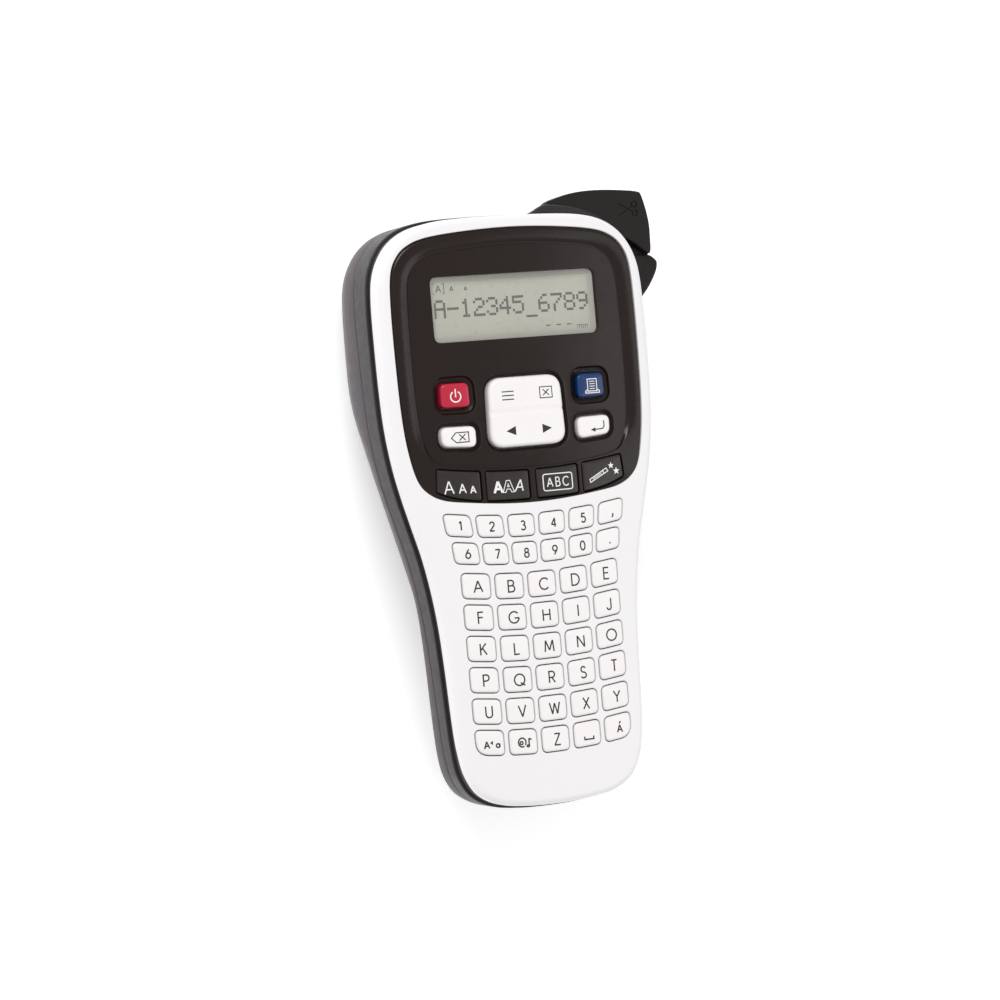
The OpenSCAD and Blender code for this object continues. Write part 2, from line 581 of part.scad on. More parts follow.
// ---- tape compartment ----
module cassette_tray() color("#4a4644") difference() {
    intersection() {
        slab(soft(rect(cas_x0 - 1.6, cas_y0 - 1.6, cas_x1 + 1.6, cas_y1 + 1.6), [2, 2, 2, 11]), 12, 25.4);
        back_solid(wall + 0.25);
    }
    slab(soft(rect(cas_x0 - 0.4, cas_y0 - 0.4, cas_x1 + 0.4, cas_y1 + 0.4), [0.5, 0.5, 0.5, 9.6]), 11, 24.2);
    block(cas_x1 - 2, 68, 11, cas_x1 + 3, cas_y1 + 3, 24.2);
    rod(spindle_at.x, spindle_at.y, 4, 20, 30);
}
// Half of the cassette's shell between two heights
module cassette_shell(z0, z1) difference() {
    slab(soft(rect(cas_x0, cas_y0, cas_x1, cas_y1), [3, 3, 3, 10]), z0, z1);
    slab(soft(rect(cas_x0 + 1.2, cas_y0 + 1.2, cas_x1 - 1.2, cas_y1 - 1.2), [0.5, 0.5, 0.5, 9]),
         max(z0, cas_z0 + 1.2) - (z0 > cas_z0 ? 1 : 0), min(z1, cas_z1 - 1.2) + (z1 < cas_z1 ? 1 : 0));
    rod(spindle_at.x, spindle_at.y, 3.4, z0 - 1, z1 + 1);
    block(cas_x1 - 3, tape_y - 1, cas_mid - tape_w / 2 - 0.4,
          cas_x1 + 1, tape_y + 1.3, cas_mid + tape_w / 2 + 0.4);
}
module cassette_base() color("#2b2b2e") {
    intersection() {
        cassette_shell(cas_z0, cas_mid);
        back_solid(wall + 0.25);
    }
    rod(roll_at.x, roll_at.y, 3, cas_z0 + 1, cas_mid + 5);
}
module cassette_lid() color("#34343a") cassette_shell(cas_mid, cas_z1);
module tape_roll() color("#f4f4ee") difference() {
    rod(roll_at.x, roll_at.y, roll_r, cas_mid - tape_w / 2, cas_mid + tape_w / 2);
    rod(roll_at.x, roll_at.y, 3.06, 0, 30);
}
module ribbon_spool() color("#6a6a70") difference() {
    rod(spindle_at.x, spindle_at.y, 5, cas_z0 + 1.6, cas_z1 - 1.6);
    rod(spindle_at.x, spindle_at.y, 2.4, 0, 30);
}
module label_tape() color("white")
    block(cas_x1 - 1.1, tape_y, cas_mid - tape_w / 2, 34.5, tape_y + tape_thick, cas_mid + tape_w / 2);

// ---- printing mechanism ----
module chassis_plate() color("#b8bcc0") difference() {
    union() {
        slab(soft([[-40, 20], [36, 20], [38, 40], [38, 76], [30, 81], [24, 88], [19, 92], [9, 92], [6, 88],
                   [-33, 88], [-38, 82]], 2), plate_z, plate_top);
        rod(spindle_at.x, spindle_at.y, 4, plate_z - 1.4, plate_z);
    }
    rod(spindle_at.x, spindle_at.y, 2.46, 20, 40);
    rod(platen_at.x, platen_at.y, 1.56, 20, 40);
    rod(motor_at.x, motor_at.y, 3.1, 20, 40);
    slab(rect(-20, 32, -4, 42), 20, 40);
    slab(rect(0, 85.8, 4.4, 95), 20, 40);
}
module gear_pins() color(steel) for (p = [reduction_at, transfer_at]) rod(p.x, p.y, 1, plate_top, 39);
module print_head() color("#d9d2c0") {
    block(13, tape_y + 0.4, 7, 23, tape_y + 1.5, 24);
    block(15, tape_y + 1.5, 9, 21, tape_y + 1.9, 22);
}
module head_bracket() color("#a9adb2") {
    difference() {
        block(12.4, tape_y + 1.9, 7, 23.6, tape_y + 3.1, plate_z);
        block(14.9, tape_y + 1.8, 8.9, 21.1, tape_y + 2.2, 22.1);
    }
    block(12.4, tape_y + 3.1, plate_z - 1.2, 23.6, tape_y + 4.6, plate_z);
}
module head_cable() color("#c07a2c") {
    block(2, 86.4, plate_z - 12, 2.3, 87.4, deck_z + 0.6);
    block(2, 86.4, plate_z - 12, 12.3, 86.7, plate_z - 4);
}
module platen_roller() color("#1d1d1f") difference() {
    rod(platen_at.x, platen_at.y, platen_r, cas_mid - tape_w / 2 - 0.5, cas_mid + tape_w / 2 + 0.5);
    rod(platen_at.x, platen_at.y, 1.5, 0, 40);
}
module platen_shaft() color(steel) rod(platen_at.x, platen_at.y, 1.5, cas_z0, layer_2[1] + 1);
module platen_gear() color("#e8e4d8") gear(platen_at, 24, phase_platen, layer_2, 1.5);
module motor() color("#9aa0a6") difference() {
    union() {
        rod(motor_at.x, motor_at.y, 8, 7, plate_z - 0.9);
        rod(motor_at.x, motor_at.y, 3, plate_z - 0.9, plate_top);
    }
    rod(motor_at.x, motor_at.y, 0.85, 18, 40);
    for (y = [motor_at.y - 7, motor_at.y + 7]) block(motor_at.x - 9, y - 0.8, 6, motor_at.x + 9, y + 0.8, 9);
}
module motor_pinion() color("#c8a850") {
    gear(motor_at, 12, 0, layer_1, 0.5);
    rod(motor_at.x, motor_at.y, 0.75, 20, layer_1[1] + 1);
}
module reduction_gear() color("#e8e4d8") {
    gear(reduction_at, 48, phase_reduction, layer_1, 1.05);
    gear(reduction_at, 14, phase_reduction, [layer_1[0] + 1, layer_2[1]], 1.05);
}
module transfer_gear() color("#e8e4d8") gear(transfer_at, 40, phase_transfer, layer_2, 1.05);
module ribbon_spindle() color("#e8e4d8") {
    gear(spindle_at, 30, phase_spindle, layer_2, 0.6);
    rod(spindle_at.x, spindle_at.y, 2.4, cas_z0 + 1.8, layer_2[1]);
}

// ---- cutter ----
module cutter_lever() color(dark_plastic) difference() {
    union() {
        slab(LEVER_EDGE, lever_z, lever_top);
        // Finger wall under the outer edge of the wing
        difference() {
            slab(LEVER_EDGE, lever_wall_z, lever_z);
            slab([[5, 78], [5, 120], [45, 120], [45, 100.3], [50, 100], [54, 98.5], [55.4, 94.6],
                  [56.1, 90.6], [62, 90.6], [62, 78]], lever_wall_z - 1, lever_z);
        }
        rod(pivot.x, pivot.y, 3, 33, lever_z);
        block(35.5, 86.6, 14, 40, 90, lever_z);
    }
    rod(pivot.x, pivot.y, 1.56, 10, 50);
    // Debossed scissors: two blades and two rings
    translate([51, 96.2, lever_top - 0.4]) rotate([0, 0, 35]) {
        for (d = [-1, 1]) rotate([0, 0, d * 12]) translate([-3.4, -0.22, 0]) cube([6.8, 0.44, 1]);
        for (d = [-1, 1]) rotate([0, 0, d * 12]) translate([4.4, 0, 0]) difference() {
            cylinder(r = 1.2, h = 1);
            cylinder(r = 0.75, h = 1);
        }
    }
}
module cutter_blade() color("#d4d7da") slab(rect(40, 83.6, 40.5, 89.6), 8, 25);
module lever_pivot_pin() color(steel) rod(pivot.x, pivot.y, 1.5, plate_top, deck_z);
module cutter_spring() color(steel) for (z = [29.6:0.9:32.2]) translate([pivot.x, pivot.y, z])
    rotate_extrude() translate([2.6, 0]) circle(r = 0.4, $fn = 16);
module tape_exit_guide() color(dark_plastic) difference() {
    union() {
        slab(soft(GUIDE_EDGE, 0.8), guide_z, guide_top);
        // Shelf that closes the corner under the lever
        slab([[44.6, 80.9], [44.6, 88.2], [48.5, 88.2], [51.5, 86.6], [54.2, 83.6], [54.2, 80.9]],
             34, guide_top);
    }
    slab(inset(body_loop, -0.3), 0, 33);
    slab(body_loop, 32, 60);
}

front_cover();
display_panel();
display_window();
lcd_glass();
lcd_frame();
lcd_cable();
keypad_mat();
main_board();
board_chips();
board_screws();
power_button();
print_button();
backspace_button();
enter_button();
navigation_pad();
size_key();
style_key();
frame_key();
decoration_key();
number_keys_upper();
number_keys_lower();
letter_keys_a_to_e();
letter_keys_f_to_j();
letter_keys_k_to_o();
letter_keys_p_to_t();
letter_keys_u_to_y();
bottom_keys();
rear_case();
rear_cover();
cassette_window();
case_screws();
battery_contacts();
batteries();
dc_jack();
cassette_tray();
cassette_base();
cassette_lid();
tape_roll();
ribbon_spool();
label_tape();
chassis_plate();
gear_pins();
print_head();
head_bracket();
head_cable();
platen_roller();
platen_shaft();
platen_gear();
motor();
motor_pinion();
reduction_gear();
transfer_gear();
ribbon_spindle();
cutter_lever();
cutter_blade();
cutter_spring();
lever_pivot_pin();
tape_exit_guide();
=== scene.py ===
"""Looks of the hand-held label maker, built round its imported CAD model.

Shapes are written in millimetres in the row frame and become metres when a piece is made.
"""

import math

import bmesh
import bpy
from mathutils import Matrix, Vector
from mathutils.geometry import delaunay_2d_cdt


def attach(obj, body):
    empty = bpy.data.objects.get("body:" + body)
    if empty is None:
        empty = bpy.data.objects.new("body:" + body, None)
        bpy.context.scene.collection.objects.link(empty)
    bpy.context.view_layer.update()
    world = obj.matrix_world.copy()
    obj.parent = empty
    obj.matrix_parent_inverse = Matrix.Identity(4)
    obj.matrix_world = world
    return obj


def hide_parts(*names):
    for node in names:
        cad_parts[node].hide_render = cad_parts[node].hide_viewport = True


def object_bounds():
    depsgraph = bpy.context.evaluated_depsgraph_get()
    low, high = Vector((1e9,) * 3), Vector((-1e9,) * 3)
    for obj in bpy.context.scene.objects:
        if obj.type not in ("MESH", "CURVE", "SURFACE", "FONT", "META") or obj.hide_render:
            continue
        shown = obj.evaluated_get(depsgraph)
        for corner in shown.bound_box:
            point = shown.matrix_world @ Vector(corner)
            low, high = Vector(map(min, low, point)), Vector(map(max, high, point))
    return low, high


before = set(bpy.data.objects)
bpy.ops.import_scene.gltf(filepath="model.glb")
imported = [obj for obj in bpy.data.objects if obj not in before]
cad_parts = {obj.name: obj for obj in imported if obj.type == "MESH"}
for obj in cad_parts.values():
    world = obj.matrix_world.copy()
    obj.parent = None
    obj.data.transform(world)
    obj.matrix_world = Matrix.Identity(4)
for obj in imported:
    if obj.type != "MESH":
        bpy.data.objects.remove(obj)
cad_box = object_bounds()
MM = 0.001

# ---------------------------------------------------------------- dimensions, as in the CAD source
DEPTH = 55
CROWN_R = 440
WALL = 2.2
GAP = 0.35
FLANGE_Z = 50.2
FLANGE_TOP = 51
PANEL_DROP = 1
SMILE = 0.0024
BODY_EDGE = [(0, 95.7), (16, 95.5), (27, 94.7), (35, 92.6), (41, 88.8), (45, 83.6), (47.3, 77.5),
             (48.2, 70), (48.5, 60), (48.5, 42), (48, 28), (46.6, 16), (44.6, 6), (41.8, -5),
             (39.2, -15), (37.2, -26),
             (35.8, -38), (35, -52), (34.5, -66), (33.8, -79), (32.2, -87.5), (28.2, -94), (21, -98),
             (11, -99.6), (0, -100)]
PANEL_EDGE = [(0, 90.6), (16, 90), (30, 88.5), (37, 86), (41, 82), (43, 76.5), (43.7, 66), (43.7, 48),
              (43.2, 31), (42, 19.5), (39.8, 10.5), (36.4, 6), (31, 3.3), (22, 1.9), (11, 0.8), (0, 0.4)]
FLAT_EDGE = [(0, 85), (15, 84.3), (28, 82.8), (34, 80), (36.9, 74.5), (37.7, 62), (37.7, 40), (36.9, 26),
             (34.4, 17.6), (30, 14.4), (15, 12.3), (0, 11.9)]
LEVER_TIP = (57.3, 80.4)
LEVER_EDGE = [(19.4, 98.6), (26.4, 101.2), (33, 102.35), (41, 102.6), (50, 102.05), (54.6, 101.4),
              (56, 100.2), (57.4, 95), (58.1, 90), (58, 85), LEVER_TIP, (54.6, 81.8), (50, 85), (43, 87.6),
              (30, 87), (14, 86.8), (11.2, 89.9), (14, 93), (18.6, 93.4)]
SHOULDER = [(10, 94.4), (14, 96.4), (18, 98.2), (24, 97.9), (31.5, 96.4), (38.5, 93.2), (44.3, 88.4),
            (48.2, 82), (48.9, 74), (47, 66), (45, 76), (40, 86), (30, 91), (12, 93)]
GUIDE_EDGE = [(46.9, 81.2), (52, 81), (58.4, 80.2), (61.1, 78.5), (61.75, 77), (60.9, 74), (58, 69.4),
              (55, 66),
              (53, 63.6), (49.2, 65.9), (48.9, 66.8), (48.8, 70), (48.3, 75)]
NOTCH = [(15, 93), (20, 120), (80, 120), (80, 80.4), (44.6, 80.4), (38, 84), (25, 88)]


# ---------------------------------------------------------------- outlines
def mirrored(half):
    """A closed loop from a right half whose ends lie on the centre line."""
    return half + [(-x, y) for x, y in half[-2:0:-1]]


def smooth(p, n):
    """A Catmull-Rom curve through the points of a closed loop, with n steps between two points."""
    out = []
    for i in range(len(p)):
        a, b, d, e = (p[(i + k) % len(p)] for k in (-1, 0, 1, 2))
        for t in (k / n for k in range(n)):
            out.append(tuple((2 * b[j] + (d[j] - a[j]) * t + (2 * a[j] - 5 * b[j] + 4 * d[j] - e[j]) * t ** 2
                              + (3 * b[j] - a[j] - 3 * d[j] + e[j]) * t ** 3) / 2 for j in (0, 1)))
    return out


def area(p):
    return sum(p[i - 1][0] * p[i][1] - p[i][0] * p[i - 1][1] for i in range(len(p))) / 2


def offset(p, d):
    """The loop moved outwards by d, which is a number or a function of x and y."""
    sign = 1 if area(p) > 0 else -1
    out = []
    for i, (x, y) in enumerate(p):
        tx = p[(i + 1) % len(p)][0] - p[i - 1][0]
        ty = p[(i + 1) % len(p)][1] - p[i - 1][1]
        step = sign * (d(x, y) if callable(d) else d) / (math.hypot(tx, ty) or 1)
        out.append((x + ty * step, y - tx * step))
    return out


def soft(p, r, n=7):
    """A polygon with rounded corners: r is one cut-back length or a list of them."""
    out = []
    for i, (x, y) in enumerate(p):
        d = r[i] if isinstance(r, (list, tuple)) else r
        if d == 0:
            out.append((x, y))
            continue
        ends = []
        for qx, qy in (p[i - 1], p[(i + 1) % len(p)]):
            length = math.hypot(qx - x, qy - y)
            ends.append((x + (qx - x) / length * d, y + (qy - y) / length * d))
        for t in (k / n for k in range(n + 1)):
            out.append(tuple(ends[0][j] * (1 - t) ** 2 + (x, y)[j] * 2 * t * (1 - t) + ends[1][j] * t * t
                             for j in (0, 1)))
    return out


def dense(p, step):
    """The closed loop with its long sides divided."""
    out = []
    for i, a in enumerate(p):
        b = p[(i + 1) % len(p)]
        n = max(1, math.ceil(math.dist(a, b) / step))
        out += [(a[0] + (b[0] - a[0]) * k / n, a[1] + (b[1] - a[1]) * k / n) for k in range(n)]
    return out


def rect(x0, y0, x1, y1):
    return [(x0, y0), (x1, y0), (x1, y1), (x0, y1)]


def circle(x, y, r, n=24):
    turns = [math.tau * k / n for k in range(n)]
    return [(x + r * math.cos(a), y + r * math.sin(a)) for a in turns]


def inside(p, x, y):
    hit = False
    for i in range(len(p)):
        (x0, y0), (x1, y1) = p[i - 1], p[i]
        if (y0 > y) != (y1 > y) and x < (x1 - x0) * (y - y0) / (y1 - y0) + x0:
            hit = not hit
    return hit


def ease(a, b, t):
    t = min(1, max(0, (t - a) / (b - a)))
    return t * t * (3 - 2 * t)


body_loop = smooth(mirrored(BODY_EDGE), 5)
panel_loop = smooth(mirrored(PANEL_EDGE), 6)
flat_loop = smooth(mirrored(FLAT_EDGE), 6)


def crown(x, drop=0.0):
    return DEPTH - CROWN_R + math.sqrt((CROWN_R - drop) ** 2 - x * x)


def seam(y):
    return 47 - 0.025 * y


def parting(y):
    return 35.6 - 0.052 * y


def lift(loop, z):
    """The loop in space: z is a height or a function of x and y."""
    return [(x, y, z(x, y) if callable(z) else z) for x, y in loop]


def rolled(loop, z, r, n=5, out=0.0):
    """Loops of a rounded edge, from the flat r inside the loop to the wall r under the surface z; r may be
    a function of x and y."""
    rings = []
    for k in range(n + 1):
        a = math.pi / 2 * k / n
        reach = [r(x, y) if callable(r) else r for x, y in loop]
        ring = offset(loop, lambda x, y: out - (r(x, y) if callable(r) else r) * (1 - math.sin(a)))
        rings.append([(x, y, z(x, y) - e * (1 - math.cos(a))) for (x, y), e in zip(ring, reach)])
    return rings


def pierced_edge(loop, z, r, bottom, n=3):
    """Loops of the rounded edge of an opening, and its wall down to the surface bottom."""
    rings = []
    for k in range(n + 1):
        a = math.pi / 2 * k / n
        ring = offset(loop, r - r * math.sin(a))
        rings.append(lift(ring, lambda x, y: z(x, y) - r + r * math.cos(a)))
    return rings + [lift(loop, bottom)]


# ---------------------------------------------------------------- solids
class Solid:
    def __init__(self):
        self.verts = []
        self.faces = []

    def ring(self, points):
        start = len(self.verts)
        self.verts += points
        return list(range(start, len(self.verts)))

    def band(self, a, b):
        for i in range(len(a)):
            self.faces.append((a[i - 1], a[i], b[i], b[i - 1]))

    def loft(self, rings, closed=False):
        """Bands between rings of the same length, capped at both ends or closed on themselves."""
        ids = [self.ring(r) for r in rings]
        for a, b in zip(ids, ids[1:]):
            self.band(a, b)
        if closed:
            self.band(ids[-1], ids[0])
        else:
            self.faces += [tuple(ids[0]), tuple(ids[-1])]

    def prism(self, loop, z0, z1):
        self.loft([lift(loop, z0), lift(loop, z1)])

    def pierced(self, outer, holes, top, under, step, creases=()):
        """A shell: outer and each of holes are the loops from the upper skin's edge to the lower skin's
        edge, and creases are loops that lie on the upper skin."""
        flat = [r[0] for r in [outer] + list(holes)] + list(creases)
        points, edges, spans = [], [], []
        for loop in flat:
            s = len(points)
            points += [(p[0], p[1]) for p in loop]
            edges += [(s + i, s + (i + 1) % len(loop)) for i in range(len(loop))]
            spans.append((s, len(points)))
        bounds = [[(p[0], p[1]) for p in r[0]] for r in [outer] + list(holes)]
        boxes = [(min(x for x, _ in b), max(x for x, _ in b), min(y for _, y in b), max(y for _, y in b))
                 for b in bounds]

        def within(x, y):
            for i, b in enumerate(bounds):
                x0, x1, y0, y1 = boxes[i]
                hit = x0 < x < x1 and y0 < y < y1 and inside(b, x, y)
                if hit != (i == 0):
                    return False
            return True

        near = set()
        cell = step * 0.55
        for x, y in points:
            i, j = math.floor(x / cell), math.floor(y / cell)
            near.update((i + a, j + b) for a in (-1, 0, 1) for b in (-1, 0, 1))
        x0, x1, y0, y1 = boxes[0]
        for i in range(math.floor((x1 - x0) / step) + 1):
            for j in range(math.floor((y1 - y0) / step) + 1):
                x = x0 + (i + 0.5 * (j % 2)) * step + 0.013
                y = y0 + j * step + 0.017
                if (math.floor(x / cell), math.floor(y / cell)) not in near and within(x, y):
                    points.append((x, y))
        co, _, tris, source, _, _ = delaunay_2d_cdt([Vector(p) for p in points], edges, [], 0, 1e-7)
        if any(not s for s in source) or len(co) != len(points):
            crossings = [tuple(co[i]) for i, s in enumerate(source) if not s]
            raise RuntimeError(f"outlines cross: {crossings[:4]}")
        order = [s[0] for s in source]
        upper = [None] * len(points)
        lower = [None] * len(points)
        for k, rings in enumerate([outer] + list(holes)):
            ids = [self.ring(r) for r in rings]
            for a, b in zip(ids, ids[1:]):
                self.band(a, b)
            s, e = spans[k]
            upper[s:e] = ids[0]
            lower[s:e] = ids[-1]
        done = spans[len(holes)][1]
        heights = [p[2] for loop in creases for p in loop]
        for i in range(done, len(points)):
            x, y = points[i]
            z = heights[i - done] if i - done < len(heights) else top(x, y)
            upper[i], lower[i] = self.ring([(x, y, z), (x, y, under(x, y))])
        for t in tris:
            a, b, c = (order[i] for i in t)
            x = (points[a][0] + points[b][0] + points[c][0]) / 3
            y = (points[a][1] + points[b][1] + points[c][1]) / 3
            if within(x, y):
                self.faces += [(upper[a], upper[b], upper[c]), (lower[c], lower[b], lower[a])]

    def ribbon(self, path, width, surface, closed=False, proud=0.03, sunk=0.08):
        """A thin raised line along a flat path."""
        n = len(path)
        sides = [[], []]
        for i, (x, y) in enumerate(path):
            before = path[i - 1] if closed or i else None
            after = path[(i + 1) % n] if closed or i < n - 1 else None
            dirs = [Vector((x - before[0], y - before[1])).normalized()] if before else []
            dirs += [Vector((after[0] - x, after[1] - y)).normalized()] if after else []
            mean = (dirs[0] + dirs[-1]).normalized() if (dirs[0] + dirs[-1]).length > 0.1 else dirs[0]
            reach = width / 2 / max(0.5, mean.dot(dirs[0]))
            for side, sign in zip(sides, (1, -1)):
                side.append((x - mean.y * reach * sign, y + mean.x * reach * sign))
        loops = []
        for (x, y), (u, v) in zip(*sides):
            loops.append(self.ring([(x, y, surface(x, y) + proud), (u, v, surface(u, v) + proud),
                                    (u, v, surface(u, v) - sunk), (x, y, surface(x, y) - sunk)]))
        pairs = list(zip(loops, loops[1:])) + ([(loops[-1], loops[0])] if closed else [])
        for a, b in pairs:
            self.band(a, b)
        if not closed:
            self.faces += [tuple(loops[0]), tuple(loops[-1])]

    def patch(self, loop, surface, proud=0.03, sunk=0.08):
        """A thin raised filled shape."""
        self.loft([lift(loop, lambda x, y: surface(x, y) - sunk),
                   lift(loop, lambda x, y: surface(x, y) + proud)])

    def mesh(self, name):
        data = bpy.data.meshes.new(name)
        data.from_pydata([(x * MM, y * MM, z * MM) for x, y, z in self.verts], [], self.faces)
        bm = bmesh.new()
        bm.from_mesh(data)
        bmesh.ops.recalc_face_normals(bm, faces=bm.faces)
        bm.to_mesh(data)
        bm.free()
        return data


def piece(name, solid, material, body, node, angle=35, weighted=True, cuts=()):
    """The solid as one finished piece: shaded, cut by the solids in cuts, riding on its body."""
    obj = bpy.data.objects.new(name, solid.mesh(name))
    bpy.context.scene.collection.objects.link(obj)
    tools = []
    for k, cut in enumerate(cuts):
        tool = bpy.data.objects.new(f"{name}_cut_{k}", cut.mesh(f"{name}_cut_{k}"))
        bpy.context.scene.collection.objects.link(tool)
        tools.append(tool)
        mod = obj.modifiers.new(f"cut_{k}", "BOOLEAN")
        mod.object = tool
        mod.operation = "DIFFERENCE"
        mod.solver = "EXACT"
    if tools:
        bpy.context.view_layer.update()
        made = obj.evaluated_get(bpy.context.evaluated_depsgraph_get())
        data = bpy.data.meshes.new_from_object(made)
        obj.modifiers.clear()
        obj.data = data
        for tool in tools:
            bpy.data.objects.remove(tool)
    data = obj.data
    data.materials.clear()
    data.materials.append(material)
    data.shade_smooth()
    data.set_sharp_from_angle(angle=math.radians(angle))
    if weighted:
        mod = obj.modifiers.new("shading", "WEIGHTED_NORMAL")
        mod.keep_sharp = True
        mod.weight = 80
    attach(obj, body)
    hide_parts(node)
    return obj


# ---------------------------------------------------------------- materials
PLASTIC_IOR = 1.46


def linear(rgb):
    return tuple((c / 255 / 12.92) if c <= 10.3 else ((c / 255 + 0.055) / 1.055) ** 2.4 for c in rgb)


def surface(name, rgb, rough, grain=0.12, bump=0.05, mottle=0.03, mottle_size=18, rough_var=0.05,
            metallic=0.0, coat=0.0, specular=0.5, alpha=1.0, streak=None):
    """A moulded or machined finish: grain is its texture's size in mm, mottle its change of tone."""
    mat = bpy.data.materials.new(name)
    mat.use_nodes = True
    nodes, links = mat.node_tree.nodes, mat.node_tree.links
    shader = nodes["Principled BSDF"]
    shader.inputs["Metallic"].default_value = metallic
    shader.inputs["Coat Weight"].default_value = coat
    shader.inputs["Coat Roughness"].default_value = 0.08
    shader.inputs["Specular IOR Level"].default_value = specular
    shader.inputs["IOR"].default_value = PLASTIC_IOR
    shader.inputs["Alpha"].default_value = alpha
    place = nodes.new("ShaderNodeTexCoord")
    stretch = nodes.new("ShaderNodeMapping")
    stretch.inputs["Scale"].default_value = streak or (1, 1, 1)
    links.new(place.outputs["Object"], stretch.inputs["Vector"])

    def noise(size, detail):
        n = nodes.new("ShaderNodeTexNoise")
        n.inputs["Scale"].default_value = 1 / (size * MM)
        n.inputs["Detail"].default_value = detail
        links.new(stretch.outputs["Vector"], n.inputs["Vector"])
        return n.outputs["Fac"]

    def ramp(source, low, high):
        r = nodes.new("ShaderNodeMapRange")
        r.inputs["From Min"].default_value = 0.3
        r.inputs["From Max"].default_value = 0.7
        r.inputs["To Min"].default_value = low
        r.inputs["To Max"].default_value = high
        links.new(source, r.inputs["Value"])
        return r.outputs["Result"]

    base = linear(rgb)
    mix = nodes.new("ShaderNodeMix")
    mix.data_type = "RGBA"
    mix.inputs["A"].default_value = (*[c * (1 - mottle) for c in base], 1)
    mix.inputs["B"].default_value = (*[min(1, c * (1 + mottle)) for c in base], 1)
    links.new(ramp(noise(mottle_size, 3), 0, 1), mix.inputs["Factor"])
    links.new(mix.outputs["Result"], shader.inputs["Base Color"])
    links.new(ramp(noise(mottle_size / 5, 4), max(0.02, rough - rough_var), min(1, rough + rough_var)),
              shader.inputs["Roughness"])
    relief = nodes.new("ShaderNodeBump")
    relief.inputs["Strength"].default_value = bump
    relief.inputs["Distance"].default_value = grain * MM * 0.4
    links.new(noise(grain, 2), relief.inputs["Height"])
    links.new(relief.outputs["Normal"], shader.inputs["Normal"])
    return mat


WHITE = surface("white_cover", (230, 228, 229), 0.42, grain=0.25, bump=0.12, mottle=0.008, mottle_size=30)
KEY = surface("white_keys", (234, 230, 230), 0.38, grain=0.2, bump=0.06, mottle=0.01, mottle_size=12)
LEGEND = surface("key_print", (38, 36, 37), 0.5, grain=0.05, bump=0.05, mottle=0.1, mottle_size=2)
PANEL = surface("panel_gloss", (28, 18, 14), 0.24, grain=0.3, bump=0.03, mottle=0.08, mottle_size=24,
                rough_var=0.03, specular=0.33)
BLACK_KEY = surface("black_keys", (38, 31, 28), 0.34, grain=0.2, bump=0.05, mottle=0.08, mottle_size=8)
PRINT_WHITE = surface("white_print", (232, 230, 228), 0.5, grain=0.05, bump=0.05, mottle=0.02,
                      mottle_size=2)
RED = surface("red_key", (180, 24, 54), 0.3, grain=0.2, bump=0.05, mottle=0.05, mottle_size=5, coat=0.2)
BLUE = surface("blue_key", (4, 46, 96), 0.3, grain=0.2, bump=0.05, mottle=0.05, mottle_size=5, coat=0.1)
BACK = surface("dark_back", (70, 62, 68), 0.42, grain=0.3, bump=0.2, mottle=0.05, mottle_size=15)
DARK = surface("dark_case", (30, 24, 26), 0.42, grain=0.3, bump=0.22, mottle=0.05, mottle_size=15)
LEVER = surface("dark_lever", (20, 14, 12), 0.5, grain=0.3, bump=0.3, mottle=0.06, mottle_size=10,
                specular=0.32)
BEZEL = surface("light_plastic", (158, 155, 146), 0.5, grain=0.2, bump=0.08, mottle=0.02, mottle_size=8)
LCD = surface("lcd", (172, 171, 158), 0.3, grain=0.4, bump=0.02, mottle=0.03, mottle_size=16)
LCD_DARK = surface("lcd_segments", (66, 65, 60), 0.4, grain=0.1, bump=0.03, mottle=0.06, mottle_size=3)
GLASS = surface("clear_window", (225, 228, 222), 0.08, grain=0.5, bump=0.01, mottle=0.01, mottle_size=20,
                alpha=0.06, rough_var=0.02)


# ---------------------------------------------------------------- keys: positions and outlines
ROWS = [(-7, 11, 6, 8.9, 6.9, 0.005, "number_keys_upper", "12345,"),
        (-16, 10.25, 6, 8.4, 6.7, 0.004, "number_keys_lower", "67890."),
        *[(-26.6 - 10.22 * i, 11.6, 5, 9.5, 7.9, 0, *names) for i, names in enumerate((
            ("letter_keys_a_to_e", "ABCDE"), ("letter_keys_f_to_j", "FGHIJ"), ("letter_keys_k_to_o", "KLMNO"),
            ("letter_keys_p_to_t", "PQRST"), ("letter_keys_u_to_y", "UVWXY"), ("bottom_keys", "⇧*Z_´")))]]

KEY_CORNER = 1.7
WIDE_CORNER = 4.2


def key_centre(row, i):
    x = (i - (row[2] - 1) / 2) * row[1]
    return x, row[0] + SMILE * x * x


def key_outline(n, i, grow=0.0):
    row = ROWS[n]
    x, _ = key_centre(row, i)
    slope, slant = 2 * SMILE * x, row[5] * x
    a, b = row[3] / 2, row[4] / 2
    quad = [(x + cx * a + slant * cy * b, row[0] + SMILE * x * x + cy * b + slope * cx * a)
            for cx, cy in ((-1, -1), (1, -1), (1, 1), (-1, 1))]
    radii = [KEY_CORNER] * 4
    if n == len(ROWS) - 1 and i in (0, row[2] - 1):
        radii[0 if i == 0 else 1] = WIDE_CORNER
    return offset(dense(soft(quad, radii, 5), 1.6), grow)


KEYS = [(n, i) for n in range(len(ROWS)) for i in range(ROWS[n][2])]
QUADS = {"power_button": ([(-29.6, 33.2), (-19.4, 33), (-19.6, 41), (-29.4, 41)], 2, 2.2),
         "print_button": ([(19.4, 33), (29.6, 33.2), (29.4, 41), (19.6, 41)], 2, 2.2),
         "backspace_button": ([(-30.3, 20.6), (-18.4, 19.7), (-18.3, 26.7), (-30.5, 26.9)], 2.4, 1.7),
         "enter_button": ([(18.4, 19.7), (30.3, 20.6), (30.5, 26.9), (18.3, 26.7)], 2.4, 1.7),
         "navigation_pad": ([(-13.6, 18.8), (13.6, 18.8), (13, 41.6), (-13, 41.6)], 5, 1.5)}


